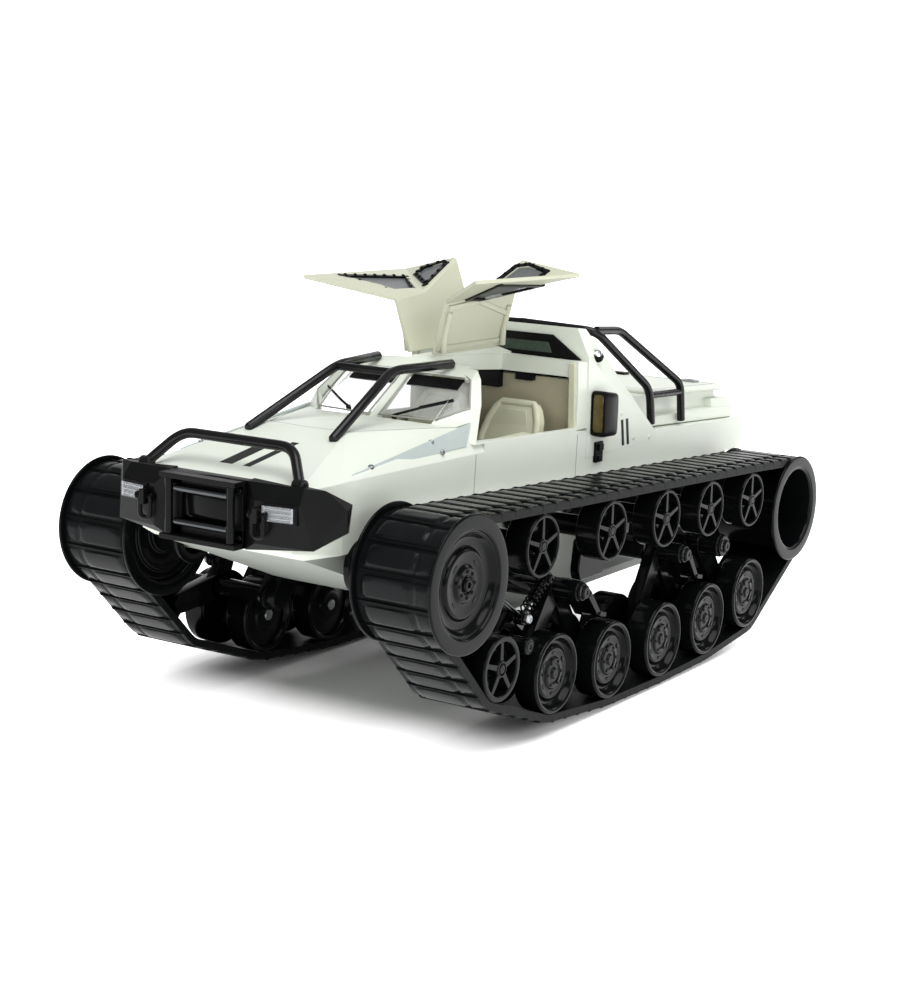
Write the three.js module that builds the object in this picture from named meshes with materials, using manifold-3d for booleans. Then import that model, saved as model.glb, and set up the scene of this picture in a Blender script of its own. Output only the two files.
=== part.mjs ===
// Tracked off-road vehicle, 1:12 radio-controlled size, with open gull-wing doors and sprung running gear.
// Millimetres. +X is the vehicle's front, +Y its left, +Z up. Every x below is counted from the middle
// road wheel's axle and every z from a datum 3.54 mm above the ground; node() moves both into the part's
// own frame, whose origin is the middle of the bounding box, on the ground.
import * as THREE from "three";
import { ConvexGeometry } from "three/addons/geometries/ConvexGeometry.js";
import { mergeVertices } from "three/addons/utils/BufferGeometryUtils.js";
import Module from "manifold-3d";

const wasm = await Module();
wasm.setup();

// ---- driving dimensions ----
const MID_X = 30.5;
const GROUND = 3.54;
const GAP = 0.35;

const TRACK_OUT = 135.0;
const TRACK_IN = 81.7;
const FLANGE_W = 1.6;
const BELT_T = 6.0;
const BELT_WEB = 3.4;
const BELT_PITCH = 15.0;
const BARREL_R = 31.0;

const FRONT_DRUM = { x: 235.9, z: 107.2, r: 39.8 };
const REAR_DRUM = { x: -197.2, z: 85.0, r: 38.0 };
const TENSION = { x: 198.0, z: 51.2, r: 19.3 };
const ROAD_R = 24.9;
const ROAD = [
  { x: 136.6, z: 35.0 },
  { x: 68.5, z: 28.8 },
  { x: 0.0, z: 27.7 },
  { x: -64.0, z: 28.9 },
  { x: -126.5, z: 35.2 },
];
const ROLLER_R = 18.7;
const ROLLER = [
  { x: 157.0, z: 115.7 },
  { x: 75.1, z: 111.7 },
  { x: 3.0, z: 108.2 },
  { x: -60.6, z: 105.0 },
  { x: -124.5, z: 101.7 },
];
const ROLLER_IN = 118.0;
const ROLLER_OUT = 134.0;
const ROAD_IN = 83.4;
const ROAD_OUT = 134.4;
const ROAD_GAP = 9.5;
const BOGIE = [
  { x: 102.5, z: 78.0, a: 0, b: 1 },
  { x: -32.0, z: 78.5, a: 2, b: 3 },
];
const REAR_ARM = { x: -96.0, z: 73.0 };
const SWING = { x: 162.0, z: 56.0 };
const SHOCK_LOW = { x: 152.0, z: 69.5 };
const SHOCK_TOP = { x: 126.0, z: 88.7 };
const ARM_IN = 104.0;
const ARM_OUT = 112.0;
// Pivot and axle pins, the round bosses at an arm's pivot and at its axle, and the stubs on the hull.
const PIN_R = 3.0;
const PIVOT_BOSS_R = 9.0;
const AXLE_BOSS_R = 7.5;
const PIVOT_STUB_R = 6.5;
const ROLLER_STUB_R = 5.5;
const SWING_STUB_R = 4.8;
const SHOCK_PIN_R = 2.0;

const HALF_BODY = 65.0;
const SEAM_Z = 116.0;
const DOOR_HINGE = { y: 9.5, z: 209.0 };
const DOOR_OPEN_LEFT = 80.5;
const DOOR_OPEN_RIGHT = 74.5;

// ---- materials ----
const paint = (color, roughness, metalness = 0) =>
  new THREE.MeshStandardMaterial({ color, roughness, metalness });
const WHITE = paint(0xdfe2d8, 0.45);
const CREAM = paint(0xe3dfc9, 0.5);
const BLACK = paint(0x141416, 0.32);
const RUBBER = paint(0x26272a, 0.7);
const GLASS = new THREE.MeshStandardMaterial({
  color: 0xd5dadb,
  roughness: 0.1,
  metalness: 0,
  transparent: true,
  opacity: 0.35,
});
const STEEL = paint(0x9a9da2, 0.3, 1);
const PACK_BLUE = paint(0x2a3446, 0.5);

const part = new THREE.Group();
part.name = "tracked_vehicle";

// ---- solids ----
function solid(geometry) {
  const bare = geometry.clone();
  bare.deleteAttribute("normal");
  bare.deleteAttribute("uv");
  const merged = mergeVertices(bare, 1e-4);
  return new wasm.Manifold(
    new wasm.Mesh({
      numProp: 3,
      vertProperties: new Float32Array(merged.attributes.position.array),
      triVerts: new Uint32Array(merged.index.array),
    }),
  );
}

function geometryOf(shape) {
  const mesh = shape.getMesh();
  const geometry = new THREE.BufferGeometry();
  geometry.setAttribute("position", new THREE.BufferAttribute(new Float32Array(mesh.vertProperties), 3));
  geometry.setIndex(new THREE.BufferAttribute(new Uint32Array(mesh.triVerts), 1));
  const flat = geometry.toNonIndexed();
  flat.computeVertexNormals();
  return flat;
}

function node(name, shape, material) {
  const geometry = geometryOf(shape);
  geometry.translate(-MID_X, 0, GROUND);
  const mesh = new THREE.Mesh(geometry, material);
  mesh.name = name;
  part.add(mesh);
}

// A node on the left and its mirror image on the right.
function pair(name, shape, material) {
  node(name + "_left", shape, material);
  node(name + "_right", shape.mirror([0, 1, 0]), material);
}

const join = (...shapes) => shapes.reduce((all, shape) => all.add(shape));
const cut = (shape, ...tools) => tools.reduce((left, tool) => left.subtract(tool), shape);

// The convex solid round some points, and the same with each point also on the other side.
const hull = (points) => solid(new ConvexGeometry(points.map((p) => new THREE.Vector3(...p))));
const twin = (points) => [...points, ...points.filter((p) => p[1] !== 0).map(([x, y, z]) => [x, -y, z])];
const faceted = (points) => hull(twin(points));

function box(x0, x1, y0, y1, z0, z1) {
  const geometry = new THREE.BoxGeometry(x1 - x0, y1 - y0, z1 - z0);
  return solid(geometry.translate((x0 + x1) / 2, (y0 + y1) / 2, (z0 + z1) / 2));
}

// Turned about the Y axis at (x, z): profile points are [radius, y], counter-clockwise.
function turned(x, z, profile, segments) {
  const points = profile.map(([r, y]) => new THREE.Vector2(r, y));
  return solid(new THREE.LatheGeometry([...points, points[0]], segments).translate(x, 0, z));
}

// A round bar along Y.
const pin = (x, z, r, y0, y1, segments = 8) =>
  solid(new THREE.CylinderGeometry(r, r, y1 - y0, segments).translate(x, (y0 + y1) / 2, z));

// A plate in the XZ plane between y0 and y1, with holes.
function plate(outline, y0, y1, holes = []) {
  const shape = new THREE.Shape(outline.map(([x, z]) => new THREE.Vector2(x, z)));
  for (const hole of holes) {
    shape.holes.push(new THREE.Path(hole.map(([x, z]) => new THREE.Vector2(x, z))));
  }
  const geometry = new THREE.ExtrudeGeometry(shape, { depth: y1 - y0, bevelEnabled: false });
  return solid(geometry.rotateX(Math.PI / 2).translate(0, y1, 0));
}

const arc = (x, z, r, from, to, count) =>
  Array.from({ length: count + 1 }, (_, i) => {
    const a = from + ((to - from) * i) / count;
    return [x + r * Math.cos(a), z + r * Math.sin(a)];
  });
const circle = (x, z, r, count) => arc(x, z, r, 0, 2 * Math.PI, count).slice(0, count);

// A straight link with round ends, from a to b.
function link(a, b, ra, rb, y0, y1) {
  const turn = Math.atan2(b.z - a.z, b.x - a.x);
  const outline = [
    ...arc(a.x, a.z, ra, turn + Math.PI / 2, turn + (3 * Math.PI) / 2, 5),
    ...arc(b.x, b.z, rb, turn - Math.PI / 2, turn + Math.PI / 2, 5),
  ];
  return plate(outline, y0, y1);
}

// A bent bar: straight runs between corners, each corner rounded with the radius bend.
class BarPath extends THREE.Curve {
  constructor(corners, bend) {
    super();
    const pts = corners.map((c) => new THREE.Vector3(...c));
    this.stops = [pts[0]];
    for (let i = 1; i < pts.length - 1; i++) {
      const back = pts[i - 1].clone().sub(pts[i]);
      const on = pts[i + 1].clone().sub(pts[i]);
      const reach = Math.min(bend, 0.45 * back.length(), 0.45 * on.length());
      const start = pts[i].clone().add(back.setLength(reach));
      const end = pts[i].clone().add(on.setLength(reach));
      const curve = new THREE.QuadraticBezierCurve3(start, pts[i], end);
      this.stops.push(...curve.getPoints(3));
    }
    this.stops.push(pts[pts.length - 1]);
  }
  getPoint(t, target = new THREE.Vector3()) {
    const at = t * (this.stops.length - 1);
    const i = Math.min(Math.floor(at), this.stops.length - 2);
    return target.copy(this.stops[i]).lerp(this.stops[i + 1], at - i);
  }
  getPointAt(u, target) {
    return this.getPoint(u, target);
  }
  getTangentAt(u, target = new THREE.Vector3()) {
    const last = this.stops.length - 1;
    const i = Math.round(u * last);
    const before = this.stops[Math.max(i - 1, 0)];
    const after = this.stops[Math.min(i + 1, last)];
    return target.copy(after).sub(before).normalize();
  }
}

function bar(corners, r, bend = 8, sides = 7) {
  const path = new BarPath(corners, bend);
  const ring = circle(0, 0, r, sides).map(([x, y]) => new THREE.Vector2(x, y));
  const options = { steps: path.stops.length - 1, bevelEnabled: false, extrudePath: path };
  return solid(new THREE.ExtrudeGeometry(new THREE.Shape(ring), options));
}

const mirrored = (shape) => shape.mirror([0, 1, 0]);
const both = (shape) => shape.add(mirrored(shape));

// ---- track belts ----
// The wheels the belt runs round, counter-clockwise seen from the right, each with the belt's inner radius.
const BELT_RIMS = [
  { ...FRONT_DRUM, r: BARREL_R + GAP },
  ...ROLLER.map((wheel) => ({ ...wheel, r: ROLLER_R + GAP })),
  { ...REAR_DRUM, r: BARREL_R + GAP },
  ...[...ROAD].reverse().map((wheel) => ({ ...wheel, r: ROAD_R + GAP })),
  { ...TENSION, r: TENSION.r + GAP },
];

function tangentAngle(from, to) {
  const dx = to.x - from.x;
  const dz = to.z - from.z;
  const length = Math.hypot(dx, dz);
  return Math.atan2(dz, dx) - Math.PI / 2 + Math.asin((from.r - to.r) / length);
}

// Points of the belt's inner face with the outward direction at each, about every step degrees of wrap.
function beltPath(step) {
  const count = BELT_RIMS.length;
  const path = [];
  BELT_RIMS.forEach((rim, i) => {
    const start = tangentAngle(BELT_RIMS[(i + count - 1) % count], rim);
    const sweep = THREE.MathUtils.euclideanModulo(tangentAngle(rim, BELT_RIMS[(i + 1) % count]) - start, 2 * Math.PI);
    const wrap = sweep > 1.9 * Math.PI ? 0 : sweep;
    const pieces = Math.max(1, Math.round(THREE.MathUtils.radToDeg(wrap) / step));
    for (let k = 0; k <= pieces; k++) {
      const a = start + (wrap * k) / pieces;
      path.push({ x: rim.x + rim.r * Math.cos(a), z: rim.z + rim.r * Math.sin(a), a });
    }
  });
  return path;
}

function beltOutlines() {
  const path = beltPath(4);
  const along = [0];
  path.forEach((p, i) => {
    const next = path[(i + 1) % path.length];
    along.push(along[i] + Math.hypot(next.x - p.x, next.z - p.z));
  });
  const length = along[path.length];
  const pads = Math.round(length / BELT_PITCH);
  const at = (s, height) => {
    const i = Math.max(0, along.findIndex((v) => v > s) - 1);
    const t = (s - along[i]) / (along[i + 1] - along[i]);
    const p = path[i];
    const q = path[(i + 1) % path.length];
    const a = p.a + THREE.MathUtils.euclideanModulo(q.a - p.a + Math.PI, 2 * Math.PI) * t - Math.PI * t;
    return [p.x + (q.x - p.x) * t + height * Math.cos(a), p.z + (q.z - p.z) * t + height * Math.sin(a)];
  };
  const outer = [];
  for (let k = 0; k < pads; k++) {
    const s = (share) => ((k + share) * length) / pads;
    outer.push(at(s(0.06), BELT_WEB), at(s(0.16), BELT_T), at(s(0.8), BELT_T), at(s(0.9), BELT_WEB));
  }
  const inner = beltPath(12).map((p) => [p.x, p.z]);
  return { outer, inner };
}

const belt = beltOutlines();
pair("track_belt", plate(belt.outer, TRACK_IN + FLANGE_W + GAP, TRACK_OUT - FLANGE_W - GAP, [belt.inner]), RUBBER);

// ---- drums ----
const AXLE_R = 4.0;
pair(
  "drive_drum",
  turned(FRONT_DRUM.x, FRONT_DRUM.z, [
    [AXLE_R + GAP, TRACK_IN],
    [FRONT_DRUM.r, TRACK_IN],
    [FRONT_DRUM.r, TRACK_IN + FLANGE_W],
    [BARREL_R, TRACK_IN + FLANGE_W],
    [BARREL_R, TRACK_OUT - FLANGE_W],
    [FRONT_DRUM.r, TRACK_OUT - FLANGE_W],
    [FRONT_DRUM.r, TRACK_OUT],
    [33, TRACK_OUT],
    [29, TRACK_OUT - 5],
    [11, TRACK_OUT - 6],
    [9, TRACK_OUT - 2.5],
    [0, TRACK_OUT - 2.5],
    [0, 103],
    [AXLE_R + GAP, 103],
  ], 24),
  BLACK,
);
pair(
  "idler_drum",
  turned(REAR_DRUM.x, REAR_DRUM.z, [
    [AXLE_R + GAP, TRACK_IN],
    [REAR_DRUM.r, TRACK_IN],
    [REAR_DRUM.r, TRACK_IN + FLANGE_W],
    [BARREL_R, TRACK_IN + FLANGE_W],
    [BARREL_R, TRACK_OUT - FLANGE_W],
    [REAR_DRUM.r, TRACK_OUT - FLANGE_W],
    [REAR_DRUM.r, TRACK_OUT],
    [28.2, TRACK_OUT],
    [27.6, 97],
    [0, 97],
    [0, 94],
    [AXLE_R + GAP, 94],
  ], 24),
  BLACK,
);

// ---- wheels ----
// A rim, a hub and five spokes; bore is the hole for the axle.
function spoked(x, z, r, rimIn, hub, spoke, bore, y0, y1) {
  const windows = [];
  for (let k = 0; k < 5; k++) {
    const mid = Math.PI / 2 + ((k + 0.5) * 2 * Math.PI) / 5;
    const low = Math.PI / 5 - Math.asin(spoke / 2 / hub);
    const high = Math.PI / 5 - Math.asin(spoke / 2 / rimIn);
    windows.push([...arc(x, z, rimIn, mid - high, mid + high, 3), ...arc(x, z, hub, mid + low, mid - low, 1)]);
  }
  return plate(circle(x, z, r, 18), y0, y1, [...windows, circle(x, z, bore, 8)]);
}

ROLLER.forEach((wheel, i) => {
  const name = "return_roller_" + (i + 1);
  pair(name, spoked(wheel.x, wheel.z, ROLLER_R, 16.2, 6.2, 2.4, PIN_R + GAP, ROLLER_IN, ROLLER_OUT), BLACK);
});
pair(
  "tension_wheel",
  spoked(TENSION.x, TENSION.z, TENSION.r, 15.4, 6.4, 3, PIN_R + GAP, ROLLER_IN, ROLLER_OUT),
  BLACK,
);

// Each road wheel is a twin: two rims on one axle with the suspension arm between them.
const ROAD_MID = (ROAD_IN + ROAD_OUT) / 2;
ROAD.forEach((wheel, i) => {
  const shape = turned(wheel.x, wheel.z, [
    [0, ROAD_IN + 1],
    [ROAD_R, ROAD_IN],
    [ROAD_R, ROAD_MID - ROAD_GAP],
    [3, ROAD_MID - ROAD_GAP],
    [3, ROAD_MID + ROAD_GAP],
    [ROAD_R, ROAD_MID + ROAD_GAP],
    [ROAD_R, ROAD_OUT],
    [21, ROAD_OUT],
    [18.5, ROAD_OUT - 4.5],
    [0, ROAD_OUT - 2],
  ], 18);
  pair("road_wheel_" + (i + 1), shape, BLACK);
});

// ---- suspension ----
// A bogie: a central plate down to both axles and a ribbed saddle over the outer rims.
BOGIE.forEach((bogie, i) => {
  const a = ROAD[bogie.a];
  const b = ROAD[bogie.b];
  const saddle = plate([
    [b.x - 5, b.z + 28.2],
    [b.x + 4, b.z + 27.6],
    [bogie.x, bogie.z - 12],
    [a.x - 4, a.z + 27.6],
    [a.x + 5, a.z + 28.2],
    [a.x + 3, a.z + 32],
    [bogie.x + 6, bogie.z + 6],
    [bogie.x - 6, bogie.z + 6],
    [b.x - 4, b.z + 32],
  ], ARM_OUT - 1, 130);
  const shape = cut(
    join(
      link(bogie, a, PIVOT_BOSS_R, AXLE_BOSS_R, ARM_IN, ARM_OUT),
      link(bogie, b, PIVOT_BOSS_R, AXLE_BOSS_R, ARM_IN, ARM_OUT),
      saddle,
      pin(bogie.x, bogie.z, 7.5, ARM_OUT - 1, 131, 14),
    ),
    pin(bogie.x, bogie.z, PIN_R + GAP, 100, 136),
    pin(a.x, a.z, PIN_R + GAP, 100, 120),
    pin(b.x, b.z, PIN_R + GAP, 100, 120),
  );
  pair("bogie_rocker_" + (i + 1), shape, BLACK);
});
pair(
  "rear_arm",
  cut(
    join(
      link(REAR_ARM, ROAD[4], PIVOT_BOSS_R, AXLE_BOSS_R, ARM_IN, ARM_OUT),
      pin(REAR_ARM.x, REAR_ARM.z, 8, ARM_OUT - 1, 128, 14),
    ),
    pin(REAR_ARM.x, REAR_ARM.z, PIN_R + GAP, 100, 136),
    pin(ROAD[4].x, ROAD[4].z, PIN_R + GAP, 100, 120),
  ),
  BLACK,
);
pair(
  "front_swing_arm",
  cut(
    join(
      link(SWING, TENSION, 8, 6.5, ARM_IN, ARM_OUT),
      link(SWING, SHOCK_LOW, 8, 4.5, ARM_IN, ARM_OUT),
      pin(TENSION.x, TENSION.z, PIN_R, ARM_OUT - 1, 134),
      pin(SHOCK_LOW.x, SHOCK_LOW.z, SHOCK_PIN_R, ARM_OUT - 1, 121),
    ),
    pin(SWING.x, SWING.z, PIN_R + GAP, 100, 136),
  ),
  BLACK,
);
const shockBody = bar([
  [SHOCK_LOW.x - 2.6, 117.2, SHOCK_LOW.z + 2.1],
  [SHOCK_TOP.x + 2.6, 117.2, SHOCK_TOP.z - 2.1],
], 3.6, 1, 10);
pair(
  "front_shock",
  cut(
    join(
      shockBody,
      pin(SHOCK_LOW.x, SHOCK_LOW.z, 4, 114, 120.4),
      pin(SHOCK_TOP.x, SHOCK_TOP.z, 4, 114, 120.4),
    ),
    pin(SHOCK_LOW.x, SHOCK_LOW.z, SHOCK_PIN_R + GAP, 110, 124),
    pin(SHOCK_TOP.x, SHOCK_TOP.z, SHOCK_PIN_R + GAP, 110, 124),
  ),
  STEEL,
);

// ---- lower hull: tub, drum axles, roller stubs, suspension pivots ----
const stubs = join(
  pin(FRONT_DRUM.x, FRONT_DRUM.z, 8, 50, TRACK_IN - GAP, 12),
  link(SWING, { x: 138, z: 84 }, 7, 8, 54, 66),
  pin(FRONT_DRUM.x, FRONT_DRUM.z, AXLE_R, 78, 102.4, 10),
  pin(REAR_DRUM.x, REAR_DRUM.z, 11, 54, TRACK_IN - GAP, 12),
  pin(REAR_DRUM.x, REAR_DRUM.z, AXLE_R, 78, 93.4, 10),
  ...ROLLER.map((wheel) => pin(wheel.x, wheel.z, ROLLER_STUB_R, 56, ROLLER_IN - GAP)),
  ...ROLLER.map((wheel) => pin(wheel.x, wheel.z, PIN_R, ROLLER_IN - 2, ROLLER_OUT - 0.5)),
  ...[...BOGIE, REAR_ARM].map((at) => pin(at.x, at.z, PIVOT_STUB_R, 54, ARM_IN - GAP)),
  pin(SWING.x, SWING.z, SWING_STUB_R, 54, ARM_IN - GAP),
  ...BOGIE.map((at) => pin(at.x, at.z, PIN_R, ARM_IN - 2, 132.4)),
  ...[REAR_ARM, SWING].map((at) => pin(at.x, at.z, PIN_R, ARM_IN - 2, 129.6)),
  pin(SHOCK_TOP.x, SHOCK_TOP.z, SHOCK_PIN_R, 104, 121),
  link(BOGIE[0], SHOCK_TOP, 6.5, 4, 92, 103.6),
  pin(SHOCK_TOP.x, SHOCK_TOP.z, 4, 96, 113.5),
);
const tub = cut(
  join(
    faceted([
      [-205, 54, 46],
      [70, 54, 46],
      [-212, 60, 54],
      [70, 60, 54],
      [-232, 60, SEAM_Z],
      [158, 60, 68],
      [158, 60, SEAM_Z],
    ]),
    faceted([
      [158, 60, 68],
      [158, 60, SEAM_Z],
      [279, 54, SEAM_Z],
    ]),
  ),
  faceted([
    [-200, 51, 49],
    [68, 51, 49],
    [-208, 57, 57],
    [68, 57, 57],
    [-227, 57, SEAM_Z + 1],
    [150, 57, 71],
    [150, 57, SEAM_Z + 1],
  ]),
  faceted([
    [149, 57, 72],
    [149, 57, SEAM_Z + 1],
    [264, 51, SEAM_Z + 1],
  ]),
);
node("lower_hull", tub.add(both(stubs)), WHITE);

// ---- upper body ----
const LIP = SEAM_Z + GAP;
const bodySides = [
  faceted([
    [-246, HALF_BODY, LIP],
    [-244, HALF_BODY, 138.5],
    [-106, HALF_BODY, 145.3],
    [-106, HALF_BODY, LIP],
  ]),
  faceted([
    [-106, HALF_BODY, LIP],
    [-106, HALF_BODY, 145.3],
    [14, 66, 158.8],
    [14, HALF_BODY, LIP],
  ]),
  faceted([
    [14, HALF_BODY, LIP],
    [14, 66, 158.8],
    [118, 66.5, 164],
    [118, HALF_BODY, LIP],
  ]),
];
const nose = faceted([
  [117, HALF_BODY, LIP],
  [255, 62, LIP],
  [280, 54, LIP],
  [290, 54, 122],
  [290, 56, 155.5],
  [262, 65, 158.4],
  [117, 66.5, 158],
  [212, 31, 176.6],
  [142.7, 44, 175.6],
  [123, 60, 174],
]);
const cabin = faceted([
  [142.7, 44, 175.6],
  [123, 58.5, 183],
  [109, 49, 198.5],
  [99, 43, 201.6],
  [99, 0, 203.6],
  [91, 43.8, 205.6],
  [90, 0, 208.6],
  [12, 66, 203],
  [-12, 64, 201.6],
  [-12, 0, 202.4],
  [129, 66.5, 163.4],
  [14, 66, 158],
  [-12, 66, 158],
  [142, 44, 165],
]);
const fins = faceted([
  [-8, 66, 158],
  [-8, 65.5, 204],
  [-8, 56, 223],
  [-17, 57, 222],
  [-106, HALF_BODY, 145.3],
  [-106, HALF_BODY, 138],
  [-8, 66, 138],
]);
const finHollow = join(
  faceted([
    [-30, 53, 226],
    [-30, 59, 140],
    [-120, 53, 226],
    [-120, 59, 140],
  ]),
  faceted([
    [-3, 36, 216.5],
    [-3, 57, 201],
    [-25, 36, 216.5],
    [-25, 57, 201],
  ]),
);
const bodyHollow = [
  faceted([
    [-241, 62, LIP - 1],
    [-240, 62, 135.5],
    [-106, 62, 142],
    [-106, 62, LIP - 1],
  ]),
  faceted([
    [-110, 62, LIP - 1],
    [-110, 62, 141.5],
    [120, 62.5, 156],
    [120, 62, LIP - 1],
  ]),
  faceted([
    [110, 62, LIP - 1],
    [250, 59, LIP - 1],
    [274, 51, LIP - 1],
    [284, 51, 123],
    [284, 52, 152],
    [258, 61.5, 154.5],
    [112, 63, 154.5],
    [209, 29, 173],
    [140, 42, 172],
    [118, 57, 170],
  ]),
  faceted([
    [138, 42, 173.5],
    [120, 56, 180],
    [106, 47.5, 197.5],
    [96, 41, 198.6],
    [96, 0, 200.4],
    [8, 63, 191.5],
    [-5, 61, 191.5],
    [-5, 0, 191.5],
    [122, 63, 145],
    [-5, 62.5, 145],
    [138, 42, 145],
  ]),
];
// The spine that carries both doors' hinges, along the middle of the roof.
const spine = faceted([
  [92, 6.5, 208.4],
  [97, 6.5, 202],
  [97, 6.5, 196],
  [10, 6.5, 208.2],
  [-12, 6.5, 202],
  [-12, 6.5, 196],
]);
// Each door's opening: through the roof from the spine out, and down the side to the sill.
const doorOpening = join(
  hull([
    [92.2, 7, 190],
    [92.2, 46, 196],
    [6, 69, 190],
    [6, 7, 190],
    [92.2, 7, 226],
    [92.2, 52, 226],
    [6, 75, 226],
    [6, 7, 226],
  ]),
  plate([
    [6, 159.6],
    [127, 164.6],
    [113.4, 183],
    [93, 206.5],
    [92.6, 226],
    [6, 226],
  ], 38, 90),
);
// The screen's opening wraps round each front corner: the front part, and the quarter part beside it.
const frontWindow = hull([
  [150, 2.6, 179.6],
  [150, 43.5, 178.4],
  [132, 2.6, 170],
  [132, 43.5, 170],
  [112, 2.6, 202.6],
  [110, 43.5, 201.4],
  [96, 2.6, 196],
  [96, 43.5, 196],
]);
const quarterWindow = hull([
  [146, 47.9, 183.3],
  [127.9, 60.7, 190.2],
  [113.5, 51.7, 205.5],
  [112.5, 46.4, 206.6],
  [137, 41.7, 171.4],
  [119, 54.6, 178.4],
  [104.6, 45.6, 193.7],
  [103.6, 40.3, 194.8],
]);
// Slots in the bottom edge for the two highest roller stubs.
const stubSlots = join(...ROLLER.slice(0, 2).map((wheel) => box(wheel.x - 6, wheel.x + 6, 50, 70, 100, wheel.z + 6)));
const shell = join(
  cut(
    join(...bodySides, nose, cabin, cut(fins, finHollow)),
    ...bodyHollow,
    both(doorOpening),
    both(stubSlots),
    both(frontWindow),
    both(quarterWindow),
    cut(finHollow, box(-4, 200, -70, 70, 130, 240)),
  ),
  spine,
);
node("upper_body", shell, WHITE);

// The windscreen and its quarter lights: one clear moulding behind the frame.
const glassOuter = faceted([
  [137.6, 41.6, 174],
  [119.6, 55.4, 180],
  [105.4, 46.6, 196.4],
  [95.6, 40.6, 198.2],
  [95.6, 0, 199.9],
]);
const glassInner = faceted([
  [136.2, 40.8, 172],
  [118.2, 54.4, 179],
  [104, 45.6, 195.2],
  [94.2, 39.6, 197],
  [94.2, 0, 198.6],
]);
const glass = cut(glassOuter, glassInner, box(60, 103, -60, 60, 150, 230), box(60, 160, -60, 60, 150, 177));
node("windscreen", glass.decompose().sort((a, b) => b.volume() - a.volume())[0], GLASS);

// ---- doors, modelled shut and then turned up about their hinge line beside the spine ----
const DOOR_T = 2.2;
const BEND_FRONT = [91.2, 43.9, 205.9];
const BEND_MID = [57.5, 46.8, 205.6];
const BEND_REAR = [11.5, 66.2, 203.9];
const SILL_FRONT = [126.5, 68.2, 165.6];
const SILL_REAR = [9.5, 67.2, 161.6];
const UP = [0, 0, DOOR_T];
const OUT = [0, DOOR_T, 0.9];
// A flat panel between corners, thickened towards each of the given directions.
const panel = (corners, ...ways) =>
  hull([...corners, ...ways.flatMap(([dx, dy, dz]) => corners.map(([x, y, z]) => [x + dx, y + dy, z + dz]))]);
// The same corners pushed both ways along a direction, to cut a window right through.
const through = (corners, [nx, ny, nz]) =>
  hull([
    ...corners.map(([x, y, z]) => [x - 6 * nx, y - 6 * ny, z - 6 * nz]),
    ...corners.map(([x, y, z]) => [x + 9 * nx, y + 9 * ny, z + 9 * nz]),
  ]);
const doorShut = cut(
  join(
    panel([[91.2, 10.2, 208.4], [11.5, 10.2, 208.4], BEND_FRONT, BEND_MID], UP),
    panel([[11.5, 10.2, 208.4], BEND_MID, BEND_REAR, [11.5, 30, 206.9]], UP),
    panel([BEND_FRONT, BEND_MID, SILL_FRONT, SILL_REAR], OUT).add(panel([BEND_FRONT, BEND_MID], UP, OUT)),
    panel([BEND_MID, BEND_REAR, SILL_REAR], OUT).add(panel([BEND_MID, BEND_REAR], UP, OUT)),
  ),
  through([[79.5, 48.5, 197.5], [60.5, 49.5, 202], [33, 62, 177], [93, 63, 170]], [0, 0.88, 0.48]),
  through([[46, 51, 201.5], [20, 63, 201], [16.5, 65, 196], [17, 65.5, 183], [26, 62, 183]], [0.39, 0.92, 0]),
);
function turnedUp(shape, degrees) {
  const { y, z } = DOOR_HINGE;
  return shape.translate([0, -y, -z]).rotate([degrees, 0, 0]).translate([0, y, z]);
}
node("door_left", turnedUp(doorShut, DOOR_OPEN_LEFT), CREAM);
node("door_right", mirrored(turnedUp(doorShut, DOOR_OPEN_RIGHT)), CREAM);

// ---- cabin and inner parts ----
// A bucket seat: a low cushion, and a back that narrows from wide shoulders to its top.
const seat = (y) => join(
  box(34, 76, y - 19, y + 19, 121, 138),
  hull([
    [28, y - 22, 121],
    [28, y + 22, 121],
    [40, y - 22, 121],
    [40, y + 22, 121],
    [20, y - 21, 152],
    [20, y + 21, 152],
    [31, y - 21, 152],
    [31, y + 21, 152],
    [12, y - 11, 175],
    [12, y + 11, 175],
    [20, y - 11, 175],
    [20, y + 11, 175],
  ]),
);
const interior = join(
  box(2, 116, -57, 57, 118.5, 122),
  box(40, 80, -8, 8, 121, 146),
  seat(29),
  seat(-29),
  faceted([
    [98, 52, 121],
    [115, 55, 121],
    [96, 50, 168],
    [115, 47, 168],
  ]),
);
node("cabin_interior", interior, CREAM);
node("drive_unit", box(134, 166, -44, 44, 82, 112), BLACK);
node("battery_pack", box(-60, 78, -23, 23, 52, 76), PACK_BLUE);

// ---- rear deck ----
const deck = join(
  faceted([
    [-241.5, 59, 139.3],
    [-241.5, 58, 147.4],
    [-122, 58, 152.5],
    [-114, 57, 145.9],
  ]),
  faceted([
    [-233, 49, 145],
    [-231, 48, 160],
    [-126, 48, 166],
    [-116, 50, 147],
  ]),
  faceted([
    [-238, 47, 159],
    [-234, 52, 159.2],
    [-238, 47, 163.2],
    [-234, 51, 163.6],
    [-128, 52, 164.6],
    [-128, 51, 169.4],
  ]),
  faceted([
    [-130, 50, 146],
    [-130, 50, 166],
    [-34, 50, 150.3],
    [-34, 50, 172],
  ]),
  faceted([
    [-244.5, 57, 139.4],
    [-244.5, 53, 153],
    [-240, 57, 151],
    [-214, 57, 141],
    [-214, 54, 154.6],
  ]),
);
node("rear_deck", deck, WHITE);

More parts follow.
